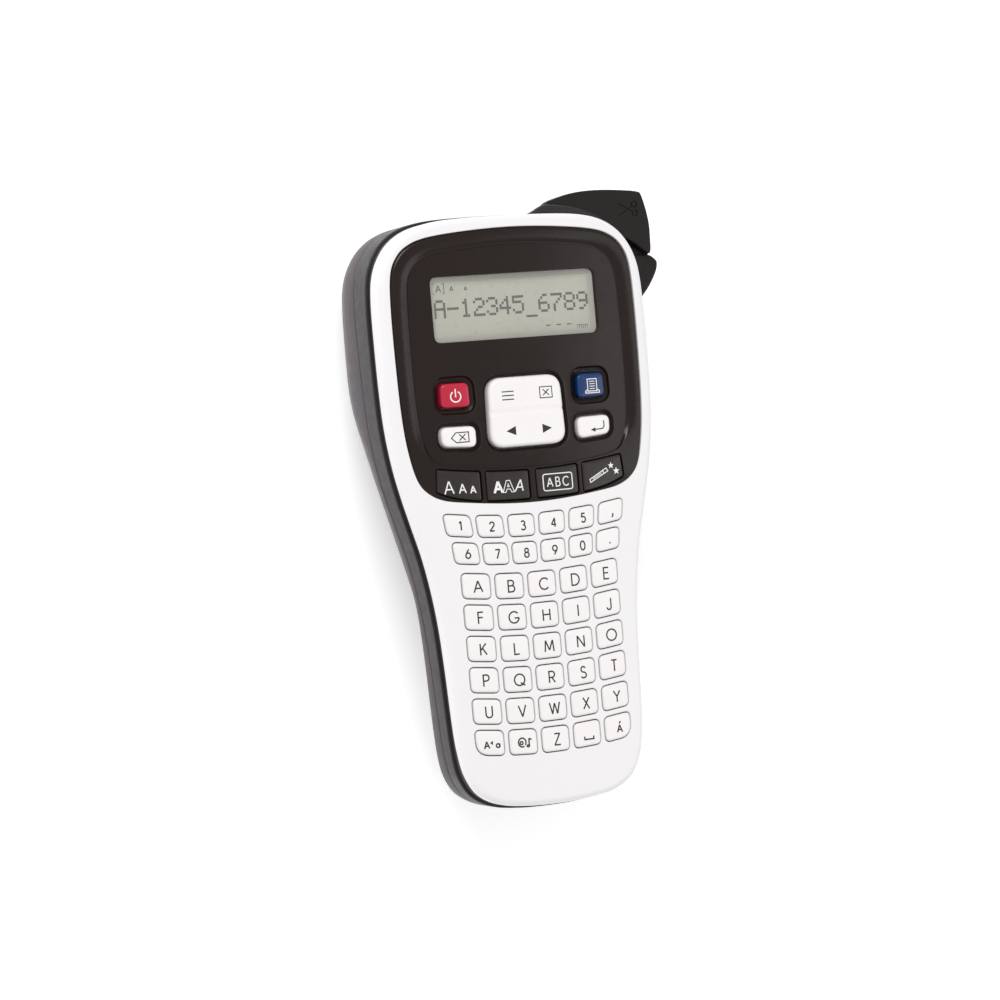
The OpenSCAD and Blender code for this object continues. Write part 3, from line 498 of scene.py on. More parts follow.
def fn_quad(x0, x1, lean0, lean1):
    def low(x):
        return 1.5 + 0.0009 * x * x + 0.000003 * x ** 4

    def high(x):
        return 10.9 + SMILE * x * x
    run = [x0 + (x1 - x0) * k / 6 for k in range(7)]
    return ([(x + lean0 * (1 - k / 6) + lean1 * k / 6, low(x)) for k, x in enumerate(run)]
            + [(x, high(x)) for x in run[::-1]])


FN_KEYS = {"size_key": fn_quad(-33.2, -18.4, -0.6, 0), "style_key": fn_quad(-16.5, -1.3, 0, 0),
           "frame_key": fn_quad(1.3, 16.5, 0, 0), "decoration_key": fn_quad(18.4, 33.2, 0, 0.6)}


def button_outline(name, grow=0.0):
    if name in QUADS:
        quad, r, _ = QUADS[name]
        return offset(dense(soft(quad, r), 1.6), grow)
    corners = [0.8 if k in (0, 6, 7, 13) else 0 for k in range(14)]
    return offset(dense(soft(FN_KEYS[name], corners, 5), 1.6), grow)


# ---------------------------------------------------------------- front cover
def top_skin(x, y):
    return crown(x)


def inner_skin(x, y):
    return crown(x, WALL)


cover = Solid()
cover_loop = offset(body_loop, lambda x, y: -0.45 - 0.6 * ease(70, 92, abs(y)))
edge = rolled(cover_loop, top_skin, 2.3, 6)
for inset, rise in ((0, 0.55), (0.12, 0.18), (0.35, 0.02)):
    edge.append(lift(offset(cover_loop, -inset), lambda x, y: seam(y) + rise))
for inset, rise in ((1.8, 0.02), (WALL, 0.3)):
    edge.append(lift(offset(body_loop, -inset), lambda x, y: seam(y) + rise))
edge.append(lift(offset(body_loop, -WALL), inner_skin))
openings = [pierced_edge(offset(dense(panel_loop, 2.5), 0.1), top_skin, 0.35, inner_skin)]
openings += [pierced_edge(key_outline(n, i, GAP), top_skin, 0.4, inner_skin) for n, i in KEYS]
cover.pierced(edge, openings, top_skin, inner_skin, 4)
piece("front_cover_shell", cover, WHITE, "case", "front_cover")

# ---------------------------------------------------------------- display panel
WINDOW = soft(rect(-29.5, 54.3, 29.5, 75.7), 2.4)


def panel_face(x, y):
    return crown(x, PANEL_DROP)


def panel_under(x, y):
    return 50.9


def rim_rise(grow):
    """How far out from the flat face a rim line lies: full width at the sides, narrow over the keys."""
    return lambda x, y: grow * (0.02 + 0.98 * ease(14.5, 26, y))


def rim_top(x, y):
    """The rim, from its rolled outer edge to the foot of its slope."""
    return crown(x, 0.15)


panel = Solid()
outer_loop = dense(panel_loop, 2.5)
flat_fine = dense(flat_loop, 1.3)
edge = rolled(outer_loop, lambda x, y: crown(x, 0.05), lambda x, y: 0.13 + 1.1 * ease(4, 20, y), 5)
edge += [lift(outer_loop, panel_under), lift(offset(outer_loop, -1), panel_under)]
creases = []
for grow, drop in ((3.4, 0.16), (2.4, 0.3), (1.5, 0.62), (0.8, 0.98), (0.35, 1.15), (0.12, 1.12), (0, 0.98),
                   (-0.5, 1.0)):
    loop = offset(flat_fine, rim_rise(grow) if grow > 0 else grow)
    creases.append(lift(loop, lambda x, y: crown(x, drop)))
openings = [pierced_edge(dense(WINDOW, 2), panel_face, 0.25, panel_under)]
for name, (_, _, moat) in QUADS.items():
    for grow, drop in ((moat + 0.35, 1.0), (moat + 0.12, 0.95), (moat - 0.05, 1.1), (moat - 0.4, 1.9),
                       (0.75, 2.3)):
        creases.append(lift(button_outline(name, grow), lambda x, y: crown(x, drop)))
    openings.append(pierced_edge(button_outline(name, GAP), lambda x, y: crown(x, 2.3), 0.15, panel_under))
openings += [pierced_edge(button_outline(name, GAP), rim_top, 0.12, panel_under) for name in FN_KEYS]


def panel_top(x, y):
    return panel_face(x, y) if inside(flat_loop, x, y) else rim_top(x, y)


panel.pierced(edge, openings, panel_top, panel_under, 3.2, creases)
piece("display_panel_fascia", panel, PANEL, "case", "display_panel")

# ---------------------------------------------------------------- display
bezel = Solid()
hole = dense(soft(rect(-29.4, 54.4, 29.4, 75.6), 2.4), 2)
bezel.loft([lift(offset(hole, grow), z) for grow, z in
            ((0.02, 50.85), (-1.5, 50.85), (-1.45, 50.95), (-0.15, 51.5), (0.6, 51.55), (2.6, 51.55))],
           closed=True)
piece("lcd_bezel", bezel, BEZEL, "case", "lcd_frame")

lens = Solid()
lens_loop = dense(soft(rect(-29.35, 54.45, 29.35, 75.55), 2.4), 2)
lens.loft([lift(offset(lens_loop, -0.1), 51.75), lift(lens_loop, 51.85), lift(lens_loop, 52.1),
           lift(offset(lens_loop, -0.3), 52.3)])
piece("display_lens", lens, GLASS, "case", "display_window")

glass = Solid()
plate = soft(rect(-31.9, 52.5, 31.9, 77.5), 0.6, 3)
glass.loft([lift(offset(plate, grow), z) for grow, z in
            ((-0.15, 49.15), (0, 49.3), (0, 50.65), (-0.15, 50.8))])
piece("lcd_plate", glass, LCD, "case", "lcd_glass")

# ---------------------------------------------------------------- lettering: strokes on a one-high grid
FONT = {
    "A": [[(0, 0), (0.4, 1), (0.8, 0)], [(0.14, 0.34), (0.66, 0.34)]],
    "B": [[(0.3, 0.53), (0, 0.53), (0, 1), (0.3, 1), (0.3, 0.765, 0.22, 0.235, 90, -90), (0.34, 0.53),
           (0.34, 0.265, 0.25, 0.265, 90, -90), (0, 0), (0, 0.53)]],
    "C": [[(0.47, 0.5, 0.47, 0.5, 42, 318)]],
    "D": [[(0, 0), (0, 1), (0.26, 1), (0.26, 0.5, 0.48, 0.5, 90, -90), (0, 0)]],
    "E": [[(0.5, 0), (0, 0), (0, 1), (0.5, 1)], [(0, 0.53), (0.45, 0.53)]],
    "F": [[(0, 0), (0, 1), (0.48, 1)], [(0, 0.53), (0.42, 0.53)]],
    "G": [[(0.48, 0.5, 0.48, 0.5, 40, 352), (0.52, 0.43)]],
    "H": [[(0, 0), (0, 1)], [(0.66, 0), (0.66, 1)], [(0, 0.53), (0.66, 0.53)]],
    "I": [[(0, 0), (0, 1)]],
    "J": [[(0.42, 1), (0.42, 0.24), (0.21, 0.24, 0.21, 0.24, 0, -175)]],
    "K": [[(0, 0), (0, 1)], [(0.54, 1), (0.02, 0.42)], [(0.19, 0.6), (0.58, 0)]],
    "L": [[(0, 1), (0, 0), (0.46, 0)]],
    "M": [[(0, 0), (0.09, 1), (0.43, 0.14), (0.77, 1), (0.86, 0)]],
    "N": [[(0, 0), (0, 1), (0.66, 0), (0.66, 1)]],
    "O": [[(0.49, 0.5, 0.49, 0.5, 0, 360)]],
    "P": [[(0, 0), (0, 1), (0.28, 1), (0.28, 0.735, 0.25, 0.265, 90, -90), (0, 0.47)]],
    "Q": [[(0.49, 0.5, 0.49, 0.5, 0, 360)], [(0.58, 0.24), (0.98, -0.02)]],
    "R": [[(0, 0), (0, 1), (0.28, 1), (0.28, 0.735, 0.25, 0.265, 90, -90), (0, 0.47)],
          [(0.26, 0.47), (0.55, 0)]],
    "S": [[(0.27, 0.755, 0.22, 0.245, 25, 262), (0.27, 0.255, 0.26, 0.255, 82, -155)]],
    "T": [[(0, 1), (0.56, 1)], [(0.28, 1), (0.28, 0)]],
    "U": [[(0, 1), (0, 0.3), (0.3, 0.3, 0.3, 0.3, 180, 360), (0.6, 1)]],
    "V": [[(0, 1), (0.35, 0), (0.7, 1)]],
    "W": [[(0, 1), (0.25, 0), (0.49, 0.94), (0.73, 0), (0.98, 1)]],
    "X": [[(0, 0), (0.58, 1)], [(0, 1), (0.58, 0)]],
    "Y": [[(0, 1), (0.32, 0.48), (0.64, 1)], [(0.32, 0.48), (0.32, 0)]],
    "Z": [[(0.02, 1), (0.54, 1), (0, 0), (0.58, 0)]],
    "0": [[(0.28, 0.5, 0.28, 0.5, 0, 360)]],
    "1": [[(0, 0.8), (0.22, 1), (0.22, 0)]],
    "2": [[(0.27, 0.73, 0.26, 0.27, 175, -30), (0, 0), (0.56, 0)]],
    "3": [[(0.25, 0.765, 0.22, 0.235, 155, -90), (0.26, 0.27, 0.26, 0.27, 90, -155)]],
    "4": [[(0.42, 0), (0.42, 1), (0, 0.28), (0.58, 0.28)]],
    "5": [[(0.5, 1), (0.12, 1), (0.06, 0.56), (0.26, 0.32, 0.27, 0.32, 128, -150)]],
    "6": [[(0.38, 1), (0.06, 0.5)], [(0.28, 0.3, 0.28, 0.3, 0, 360)]],
    "7": [[(0, 1), (0.52, 1), (0.16, 0)]],
    "8": [[(0.27, 0.77, 0.21, 0.23, 0, 360)], [(0.27, 0.27, 0.27, 0.27, 0, 360)]],
    "9": [[(0.18, 0), (0.5, 0.5)], [(0.28, 0.7, 0.28, 0.3, 0, 360)]],
    ",": [[(0.12, 0.3), (0.12, 0.1), (0, -0.15)]],
    ".": [[(0, 0.06), (0, 0.24)]],
    "_": [[(0, 0.3), (0, 0), (1, 0), (1, 0.3)]],
    "⇧": [[(0, 0), (0.28, 0.72), (0.56, 0)], [(0.1, 0.25), (0.46, 0.25)],
               [(1.5, 0.19, 0.19, 0.19, 0, 360)], [(1.69, 0.4), (1.69, 0)]],
    "*": [[(0.35, 0.45, 0.16, 0.16, 0, 360)], [(0.43, 0.5, 0.42, 0.46, -40, 300)],
          [(1.2, 0.1), (1.2, 0.85), (1.5, 0.7)], [(1.08, 0.08, 0.13, 0.1, 0, 360)]],
    "´": [[(0, 0), (0.28, 0.72), (0.56, 0)], [(0.1, 0.25), (0.46, 0.25)], [(0.25, 0.85), (0.42, 1.08)]],
}


def stroke(path):
    """A glyph's path with its arcs, given as centre, radii and two angles, turned into points."""
    out = []
    for p in path:
        if len(p) == 2:
            out.append(p)
            continue
        x, y, rx, ry, a0, a1 = p
        n = max(4, round(abs(a1 - a0) / 12))
        for k in range(n + 1):
            a = math.radians(a0 + (a1 - a0) * k / n)
            out.append((x + rx * math.cos(a), y + ry * math.sin(a)))
    kept = [out[0]]
    for p in out[1:]:
        if math.dist(p, kept[-1]) > 0.005:
            kept.append(p)
    closed = len(kept) > 3 and math.dist(kept[0], kept[-1]) < 0.02
    return (kept[:-1], True) if closed else (kept, False)


def strokes(line):
    """The line cut where it turns back sharply, so that every stroke keeps its full width."""
    out = [[line[0]]]
    for a, b, c in zip(line, line[1:], line[2:]):
        out[-1].append(b)
        if (b[0] - a[0]) * (c[0] - b[0]) + (b[1] - a[1]) * (c[1] - b[1]) < 0:
            out.append([b])
    out[-1].append(line[-1])
    return out


def glyph(solid, char, at, size, width, height_at, lean=0.0, squeeze=1.0):
    """One character of the given height, centred on the point at."""
    paths = [stroke(p) for p in FONT[char]]
    xs = [x for p, _ in paths for x, _ in p]
    mid = (min(xs) + max(xs)) / 2
    for path, closed in paths:
        line = [(at[0] + ((x - mid) * squeeze + lean * (y - 0.5)) * size, at[1] + (y - 0.5) * size)
                for x, y in path]
        for run in [line] if closed else strokes(line):
            solid.ribbon(run, width, height_at, closed)


# ---------------------------------------------------------------- keypad
KEY_RISE = 0.66


def key_face(x, y):
    return crown(x, -KEY_RISE)


for n, row in enumerate(ROWS):
    node = row[6]
    body = node + "_body"
    print_work = Solid()
    for i in range(row[2]):
        loop = key_outline(n, i)
        x, y = key_centre(row, i)
        cap = Solid()
        rings = [lift(offset(loop, 0.75), FLANGE_Z), lift(offset(loop, 0.75), FLANGE_TOP - 0.1),
                 lift(loop, FLANGE_TOP)]
        roll = rolled(loop, lambda u, v: key_face(u, v) - 0.1, 0.8, 6)
        rings += roll[::-1]
        for share, rise in ((0.72, 0.06), (0.4, 0.09), (0.12, 0.1)):
            rings.append([(x + (u - x) * share, y + (v - y) * share,
                           key_face(x + (u - x) * share, v) - 0.1 + rise) for u, v, _ in roll[0]])
        cap.loft(rings)
        piece(f"key_{n}_{i}", cap, KEY, body, node, angle=50)
        size = 2.9 if n < 2 else 3.7
        char = row[7][i]
        size *= {"⇧": 0.85, "*": 0.85, "_": 0.9, "´": 0.9}.get(char, 1)
        glyph(print_work, char, (x + 0.3, y - 0.1), size, 0.48, lambda u, v: key_face(u, v) - 0.01)
        if char == "⇧":
            print_work.patch([(x - 0.35, y), (x + 0.65, y + 0.7), (x + 0.65, y - 0.7)],
                             lambda u, v: key_face(u, v) - 0.01)
    piece(f"print_{node}", print_work, LEGEND, body, node, weighted=False)


# ---------------------------------------------------------------- buttons on the panel
def button(name, rise, edge_r, material, dome=0.15):
    loop = button_outline(name)
    cx = sum(x for x, _ in loop) / len(loop)
    cy = sum(y for _, y in loop) / len(loop)

    def face(x, y):
        return crown(x, PANEL_DROP - rise) - dome
    cap = Solid()
    roll = rolled(loop, face, edge_r, 6)
    flange = offset(loop, 0.85)
    rings = [lift(flange, FLANGE_Z), lift(flange, 50.65), lift(loop, 50.75)] + roll[::-1]
    for share, up in ((0.75, 0.55), (0.5, 0.82), (0.2, 1)):
        rings.append([(cx + (x - cx) * share, cy + (y - cy) * share,
                       face(cx + (x - cx) * share, y) + dome * up) for x, y, _ in roll[0]])
    cap.loft(rings)
    piece(f"{name}_cap", cap, material, name + "_body", name, angle=60)
    return lambda x, y: face(x, y) + dome * 0.97


def marks(name, material, draw):
    """Printed symbols on one button."""
    work = Solid()
    draw(work)
    piece(f"{name}_symbol", work, material, name + "_body", name, weighted=False)


power_face = button("power_button", 0.9, 0.9, RED)
print_face = button("print_button", 0.9, 0.9, BLUE)
back_face = button("backspace_button", 0.9, 0.9, KEY)
enter_face = button("enter_button", 0.9, 0.9, KEY)
fn_faces = {name: button(name, 1.1, 0.75, BLACK_KEY, dome=0.12) for name in FN_KEYS}


def power_marks(s):
    arc, _ = stroke([(-24.5, 36.6, 1.75, 1.75, 120, 420)])
    s.ribbon(arc, 0.42, power_face)
    s.ribbon([(-24.5, 36.4), (-24.5, 39.1)], 0.42, power_face)


def print_marks(s):
    s.ribbon(rect(23.1, 35, 26.5, 39), 0.3, print_face, True)
    for k in range(4):
        s.ribbon([(23.8, 35.8 + 0.8 * k), (25.8, 35.8 + 0.8 * k)], 0.24, print_face)
    s.ribbon([(23.1, 35.6), (22.2, 35), (22.2, 34.4), (27.4, 34.4), (27.4, 35), (26.5, 35.6)], 0.3,
             print_face)


def back_marks(s):
    s.ribbon([(-27.2, 23.2), (-25.6, 21.7), (-21.2, 21.7), (-21.2, 24.9), (-25.6, 24.9)], 0.32,
             back_face, True)
    s.ribbon([(-24.5, 22.3), (-22.3, 24.3)], 0.34, back_face)
    s.ribbon([(-24.5, 24.3), (-22.3, 22.3)], 0.34, back_face)


def enter_marks(s):
    s.ribbon([(28, 25), (28, 23.1), (27.4, 22.4), (24, 22.2)], 0.34, enter_face)
    s.patch([(22.9, 22.2), (24.6, 22.9), (24.6, 21.5)], enter_face)


marks("power_button", PRINT_WHITE, power_marks)
marks("print_button", PRINT_WHITE, print_marks)
marks("backspace_button", LEGEND, back_marks)
marks("enter_button", LEGEND, enter_marks)


def size_marks(s):
    for x, size, y in ((-29.6, 4.1, 7.4), (-25, 3, 6.7), (-21.4, 2.3, 6.1)):
        glyph(s, "A", (x, y), size, 0.42, fn_faces["size_key"], squeeze=0.95)


def style_marks(s):
    face = fn_faces["style_key"]
    glyph(s, "A", (-12.6, 6.1), 3.7, 0.8, face, squeeze=0.95)
    outline = [(-11, 4.2), (-9.6, 8), (-8.4, 8), (-7, 4.2), (-8, 4.2), (-8.4, 5.2), (-9.6, 5.2), (-10, 4.2)]
    s.ribbon(outline, 0.26, face, True)
    s.ribbon([(-9.3, 6), (-9, 7), (-8.7, 6)], 0.26, face, True)
    glyph(s, "A", (-4.9, 6.1), 3.7, 0.42, face, lean=0.22, squeeze=0.95)


def frame_marks(s):
    face = fn_faces["frame_key"]
    s.ribbon(soft(rect(3.6, 3.5, 14.2, 8.9), 0.8, 3), 0.34, face, True)
    for k, char in enumerate("ABC"):
        glyph(s, char, (6 + 2.9 * k, 6.2), 2.9, 0.36, face, squeeze=0.85)


def star(x, y, r):
    return [(x + (r if k % 2 == 0 else r * 0.42) * math.cos(math.radians(90 + 36 * k)),
             y + (r if k % 2 == 0 else r * 0.42) * math.sin(math.radians(90 + 36 * k))) for k in range(10)]


def decoration_marks(s):
    face = fn_faces["decoration_key"]
    s.ribbon([(21, 4.9), (20.8, 5.9), (27.2, 9.2), (27.8, 8.2)], 0.3, face, True)
    s.ribbon([(25.8, 8.4), (26.4, 7.4)], 0.3, face)
    s.ribbon([(21.9, 5.9), (25.4, 7.7)], 0.26, face)
    s.patch(star(29.1, 9.9, 1.15), face)
    s.patch(star(31, 8, 1.3), face)


for name, draw in (("size_key", size_marks), ("style_key", style_marks), ("frame_key", frame_marks),
                   ("decoration_key", decoration_marks)):
    marks(name, PRINT_WHITE, draw)

# The navigation pad: four low cushions parted by shallow grooves
PAD_RISE = 1.6


def pad_face(x, y):
    groove = 0.34 * math.exp(-((x + 0.1) / 0.55) ** 2) + 0.45 * math.exp(-((y - 30.2) / 0.5) ** 2)
    return crown(x, PANEL_DROP - PAD_RISE) - 0.12 - min(0.5, groove)


pad = Solid()
pad_loop = dense(button_outline("navigation_pad"), 0.8)
edge = rolled(pad_loop, pad_face, 1.3, 6)
edge += [lift(pad_loop, 50.75), lift(offset(pad_loop, 0.85), 50.65), lift(offset(pad_loop, 0.85), FLANGE_Z),
         lift(offset(pad_loop, -1), FLANGE_Z)]
pad.pierced(edge, [], pad_face, lambda x, y: FLANGE_Z, 0.8)
piece("navigation_pad_cap", pad, KEY, "navigation_pad_body", "navigation_pad", angle=60)


def pad_marks(s):
    for k in range(3):
        s.ribbon([(-8.6, 34.3 + 1.3 * k), (-4.4, 34.3 + 1.3 * k)], 0.36, pad_face)
    s.ribbon(rect(5, 34, 9.4, 37.6), 0.32, pad_face, True)
    s.ribbon([(6.1, 34.8), (8.3, 36.8)], 0.34, pad_face)
    s.ribbon([(6.1, 36.8), (8.3, 34.8)], 0.34, pad_face)
    s.patch([(-8.1, 24), (-4.7, 25.5), (-4.7, 22.5)], pad_face)
    s.patch([(8.3, 24), (4.9, 25.5), (4.9, 22.5)], pad_face)


marks("navigation_pad", LEGEND, pad_marks)

# ---------------------------------------------------------------- characters on the display
DOTS = {
    "1": ("..#..", ".##..", "..#..", "..#..", "..#..", "..#..", ".###."),
    "2": (".###.", "#...#", "....#", "..##.", ".#...", "#....", "#####"),
    "3": (".###.", "#...#", "....#", "..##.", "....#", "#...#", ".###."),
    "4": ("...#.", "..##.", ".#.#.", "#..#.", "#####", "...#.", "...#."),
    "5": ("#####", "#....", "####.", "....#", "....#", "#...#", ".###."),
    "6": ("..##.", ".#...", "#....", "####.", "#...#", "#...#", ".###."),
    "7": ("#####", "....#", "...#.", "..#..", ".#...", ".#...", ".#..."),
    "8": (".###.", "#...#", "#...#", ".###.", "#...#", "#...#", ".###."),
    "9": (".###.", "#...#", "#...#", ".####", "....#", "...#.", ".##.."),
    "A": (".###.", "#...#", "#...#", "#####", "#...#", "#...#", "#...#"),
    "-": (".....", ".....", ".....", "#####", ".....", ".....", "....."),
    "_": (".....", ".....", ".....", ".....", ".....", ".....", "....."),
}
TEXT_X = -28
TEXT_TOP = 68.3
CHAR_PITCH = 4.68
DOT_W = 0.83
DOT_H = 0.86
segments = Solid()


def lcd_top(x, y):
    return 50.8


for k, char in enumerate("A-12345_6789"):
    for r, line in enumerate(DOTS[char]):
        for c, dot in enumerate(line):
            if dot == "#":
                x = TEXT_X + CHAR_PITCH * k + DOT_W * c
                y = TEXT_TOP - DOT_H * r
                segments.patch(rect(x, y - 0.82, x + 0.79, y), lcd_top, 0.02, 0.02)
    if char == "_":
        x = TEXT_X + CHAR_PITCH * k
        segments.patch(rect(x, 60.9, x + 4.1, 61.6), lcd_top, 0.02, 0.02)
for x in (11.6, 15.4, 19.2):
    segments.patch(rect(x, 57.6, x + 1.6, 58), lcd_top, 0.02, 0.02)
glyph(segments, "A", (-25.9, 72), 2.2, 0.3, lcd_top)
for x in (23, 25.1):
    for path in ([(x, 56.2), (x, 57.3), (x + 0.8, 57.3), (x + 0.8, 56.2)],
                 [(x + 0.8, 57.3), (x + 1.6, 57.3), (x + 1.6, 56.2)]):
        segments.ribbon(path, 0.22, lcd_top, False, 0.02, 0.02)
for x, sign in ((-28, 1), (-23.9, -1)):
    bracket = [(x + 0.6 * sign, 73.6), (x, 73.6), (x, 70.4), (x + 0.6 * sign, 70.4)]
    segments.ribbon(bracket, 0.28, lcd_top, False, 0.02, 0.02)
glyph(segments, "A", (-21.2, 71.8), 1.6, 0.28, lcd_top)
glyph(segments, "A", (-16.2, 71.6), 1.2, 0.25, lcd_top)
piece("lcd_characters", segments, LCD_DARK, "case", "lcd_glass", weighted=False)

# ---------------------------------------------------------------- rear case
ring_profile = [(WALL, -0.08), (1.35, -0.08), (1.05, -0.3), (1.0, -2.75), (0.9, -2.98), (0.45, -3.02),
                (0.14, -3.14), (0, -3.5)]
rings = [lift(offset(body_loop, -i), lambda x, y: seam(y) + z) for i, z in ring_profile]
for i, z in ((0, 0.5), (0.14, 0.16), (0.5, 0.02), (WALL, 0.02)):
    rings.append(lift(offset(body_loop, -i), lambda x, y: parting(y) + z))
case = Solid()
case.loft(rings, closed=True)
notch = Solid()
notch.prism(NOTCH, 20, 41.6)
jack_hole = Solid()
jack_hole.verts = [(x, 27 + 4.6 * math.cos(a), 38.8 + 4.6 * math.sin(a)) for x in (40, 60)
                   for a in (math.tau * k / 40 for k in range(40))]
jack_hole.band(list(range(40)), list(range(40, 80)))
jack_hole.faces += [tuple(range(40)), tuple(range(40, 80))]
piece("rear_case_rim", case, DARK, "case", "rear_case", cuts=[notch, jack_hole])

deck = Solid()
deck.prism(offset(body_loop, -2.1), 44.9, 46.1)
bay = rect(-26.6, -90.6, 26.6, -23.6)
deck.loft([lift(offset(dense(soft(bay, 1, 3), 9), g), z) for g, z in
           ((1.2, 44.95), (1.2, 41.5), (0, 41.5), (0, 44.95))], closed=True)
for x, y in ((-43.2, 68), (43.2, 52), (-41.2, 14), (41.2, 14)):
    deck.prism(circle(x, y, 3.1), 39.9, 44.95)
for x, y in ((-36, 24), (-33, 84), (33, 24), (34, 72)):
    deck.prism(circle(x, y, 2.4), 28.2, 44.95)
piece("rear_case_deck", deck, DARK, "case", "rear_case", weighted=False)

shoulder = Solid()
loop = smooth(SHOULDER, 4)
shoulder.loft([lift(offset(loop, -0.5), 41.62), lift(offset(loop, -0.1), 41.7), lift(loop, 42)]
              + rolled(loop, lambda x, y: 43.6, 0.8, 5)[::-1])
piece("rear_case_shoulder", shoulder, DARK, "case", "rear_case", angle=60)


# ---------------------------------------------------------------- rear cover
def smooth_max(a, b, k):
    """The larger height, blended over k; the blend shrinks near 0, so a flat at 0 stays at 0."""
    k = min(k, max(abs(a), abs(b)))
    if k < 0.001:
        return max(a, b)
    h = max(k - abs(a - b), 0) / k
    return max(a, b) + h * h * k / 4


def steps(points, t):
    """Height on a line of straight steps."""
    if t <= points[0][0]:
        return points[0][1]
    for (a, u), (b, v) in zip(points, points[1:]):
        if t <= b:
            return u + (v - u) * (t - a) / (b - a)
    return points[-1][1]


head_rim = [p for p in dense(body_loop, 0.7) if p[0] < -4 and p[1] > 42]
head_rim += [(-48.5, 42 - 0.7 * k) for k in range(76)]


def back_skin(x, y):
    side = steps([(-44, 28), (-14, 0), (88, 0), (93, 7), (96.5, 20), (97, 50)], y)
    end = steps([(37, 0), (42.5, 6), (47, 20), (49.5, 30)], x)
    near = min(math.dist((x, y), p) for p in head_rim) if x < -5 and y > -10 else 30
    end = max(end, (8.8 - near) / 0.42 * min(1, max(0, (-5 - x) / 20)), 0)
    wedge = max(0, (abs(x) - 29.3 - 0.265 * y) / 0.446)
    hump = smooth_max(smooth_max(side, end, 5), wedge, 5) - 0.3 * ease(0, 3, max(side, end, wedge))
    grip = smooth_max(steps([(-101, 37), (-98.5, 33), (-92, 30.2), (-60, 28.5), (-20, 26.5), (0, 26)], y),
                      28.1 + x * x / 400, 3)
    return -smooth_max(-hump, -grip, 3)


lid = Solid()
LID_ROLL = 3.4
edge = []
for k in range(8):
    a = math.pi / 2 * k / 7
    ring = offset(body_loop, -LID_ROLL + LID_ROLL * math.sin(a))
    edge.append([(x, y, back_skin(x, y) + LID_ROLL - LID_ROLL * math.cos(a)) for x, y in ring])
for i, z in ((0, -0.7), (0.14, -0.36), (0.5, -0.17), (WALL, -0.17)):
    edge.append(lift(offset(body_loop, -i), lambda x, y: parting(y) + z))
edge.append([(x, y, back_skin(x, y) + LID_ROLL + 0.6) for x, y in offset(body_loop, -WALL)])
edge.append([(x, y, back_skin(x, y) + WALL) for x, y in offset(body_loop, -LID_ROLL - 0.4)])
lid.pierced(edge, [], back_skin, lambda x, y: back_skin(x, y) + WALL, 1.8)
notch = Solid()
notch.prism(NOTCH, 7.6, 60)
window_cut = Solid()
window_cut.prism(soft(rect(-32, 44, -8, 74), 3), -1, 5)
rebate = Solid()
rebate.prism(soft(rect(-34, 42, -6, 76), 3), 1.1, 5)
ribs = [notch, window_cut, rebate]
for k in range(6):
    rib = Solid()
    rib.prism(soft(rect(-9, -93 + 2.2 * k, 9, -92 + 2.2 * k), 0.45, 3), 20, 30.4 - 0.1 * k)
    ribs.append(rib)
piece("rear_cover_shell", lid, BACK, "back_lid", "rear_cover", weighted=False, cuts=ribs)

# ---------------------------------------------------------------- cutter lever and tape exit
LEVER_TOP_Z = 41
LEVER_Z = 38
WALL_DROP = 29
SCISSORS = (50.3, 95.6)
GUIDE_TOP_Z = 37.5
lever = Solid()
loop = smooth(LEVER_EDGE, 5)


def walled(x, y):
    """1 along the outer edge, which carries the finger wall, and 0 elsewhere."""
    return 1.0 if (y > 97 and x > 45) or (x > 55 and y > 90.4) else 0.0


def lever_top(x, y):
    return LEVER_TOP_Z


flags = [walled(x, y) for x, y in loop]
inner = offset(loop, -2.1)
lever_rings = rolled(loop, lever_top, lambda x, y: 0.25 + 0.4 * ease(1, 7, math.dist((x, y), LEVER_TIP)), 5)
lever_rings.append([(x, y, LEVER_Z - (WALL_DROP - 0.4) * f) for (x, y), f in zip(loop, flags)])
# Lower loops: shares of the way inwards under the plain edge and under the finger wall, and the wall's drop
for plain, walls, drop in ((0.15, 0.15, WALL_DROP), (0.15, 0.9, WALL_DROP), (0.2, 1, 0)):
    lower = []
    for (x, y), (u, v), f in zip(loop, inner, flags):
        share = walls * f + plain * (1 - f)
        lower.append((x + (u - x) * share, y + (v - y) * share, LEVER_Z - drop * f))
    lever_rings.append(lower)
lever.pierced(lever_rings, [], lever_top, lambda x, y: LEVER_Z, 3)
lever.prism(circle(14, 89.9, 3), 33, LEVER_Z + 0.02)
lever.prism(soft(rect(35.5, 86.6, 40, 90), 0.4, 2), 14, LEVER_Z + 0.02)
scissors = []
for d in (-1, 1):
    c, s = math.cos(math.radians(30 * d)), math.sin(math.radians(30 * d))
    blade, ring = Solid(), Solid()
    x, y = SCISSORS
    blade.ribbon([(x - 4 * c, y - 4 * s), (x + 1.9 * c, y + 1.9 * s)], 0.45, lever_top, False, 1, 0.35)
    ring.ribbon(circle(x + 2.9 * c, y + 2.9 * s, 1, 16), 0.42, lever_top, True, 1, 0.35)
    scissors += [blade, ring]
piece("cutter_lever_wing", lever, LEVER, "lever", "cutter_lever", angle=50, cuts=scissors)


guide = Solid()
loop = smooth(GUIDE_EDGE, 4)
guide.loft([lift(offset(loop, grow), z) for grow, z in ((-1.1, 8), (-0.4, 8.2), (-0.08, 8.6), (0, 9.2))]
           + rolled(loop, lambda x, y: GUIDE_TOP_Z, 1.0, 5)[::-1])
guide.prism([(44.6, 80.9), (44.6, 88.2), (48.5, 88.2), (51.5, 86.6), (54.2, 83.6), (57.2, 81.8),
             (58.4, 80.2)], 34, GUIDE_TOP_Z)
piece("tape_exit_wing", guide, LEVER, "case", "tape_exit_guide", angle=60)

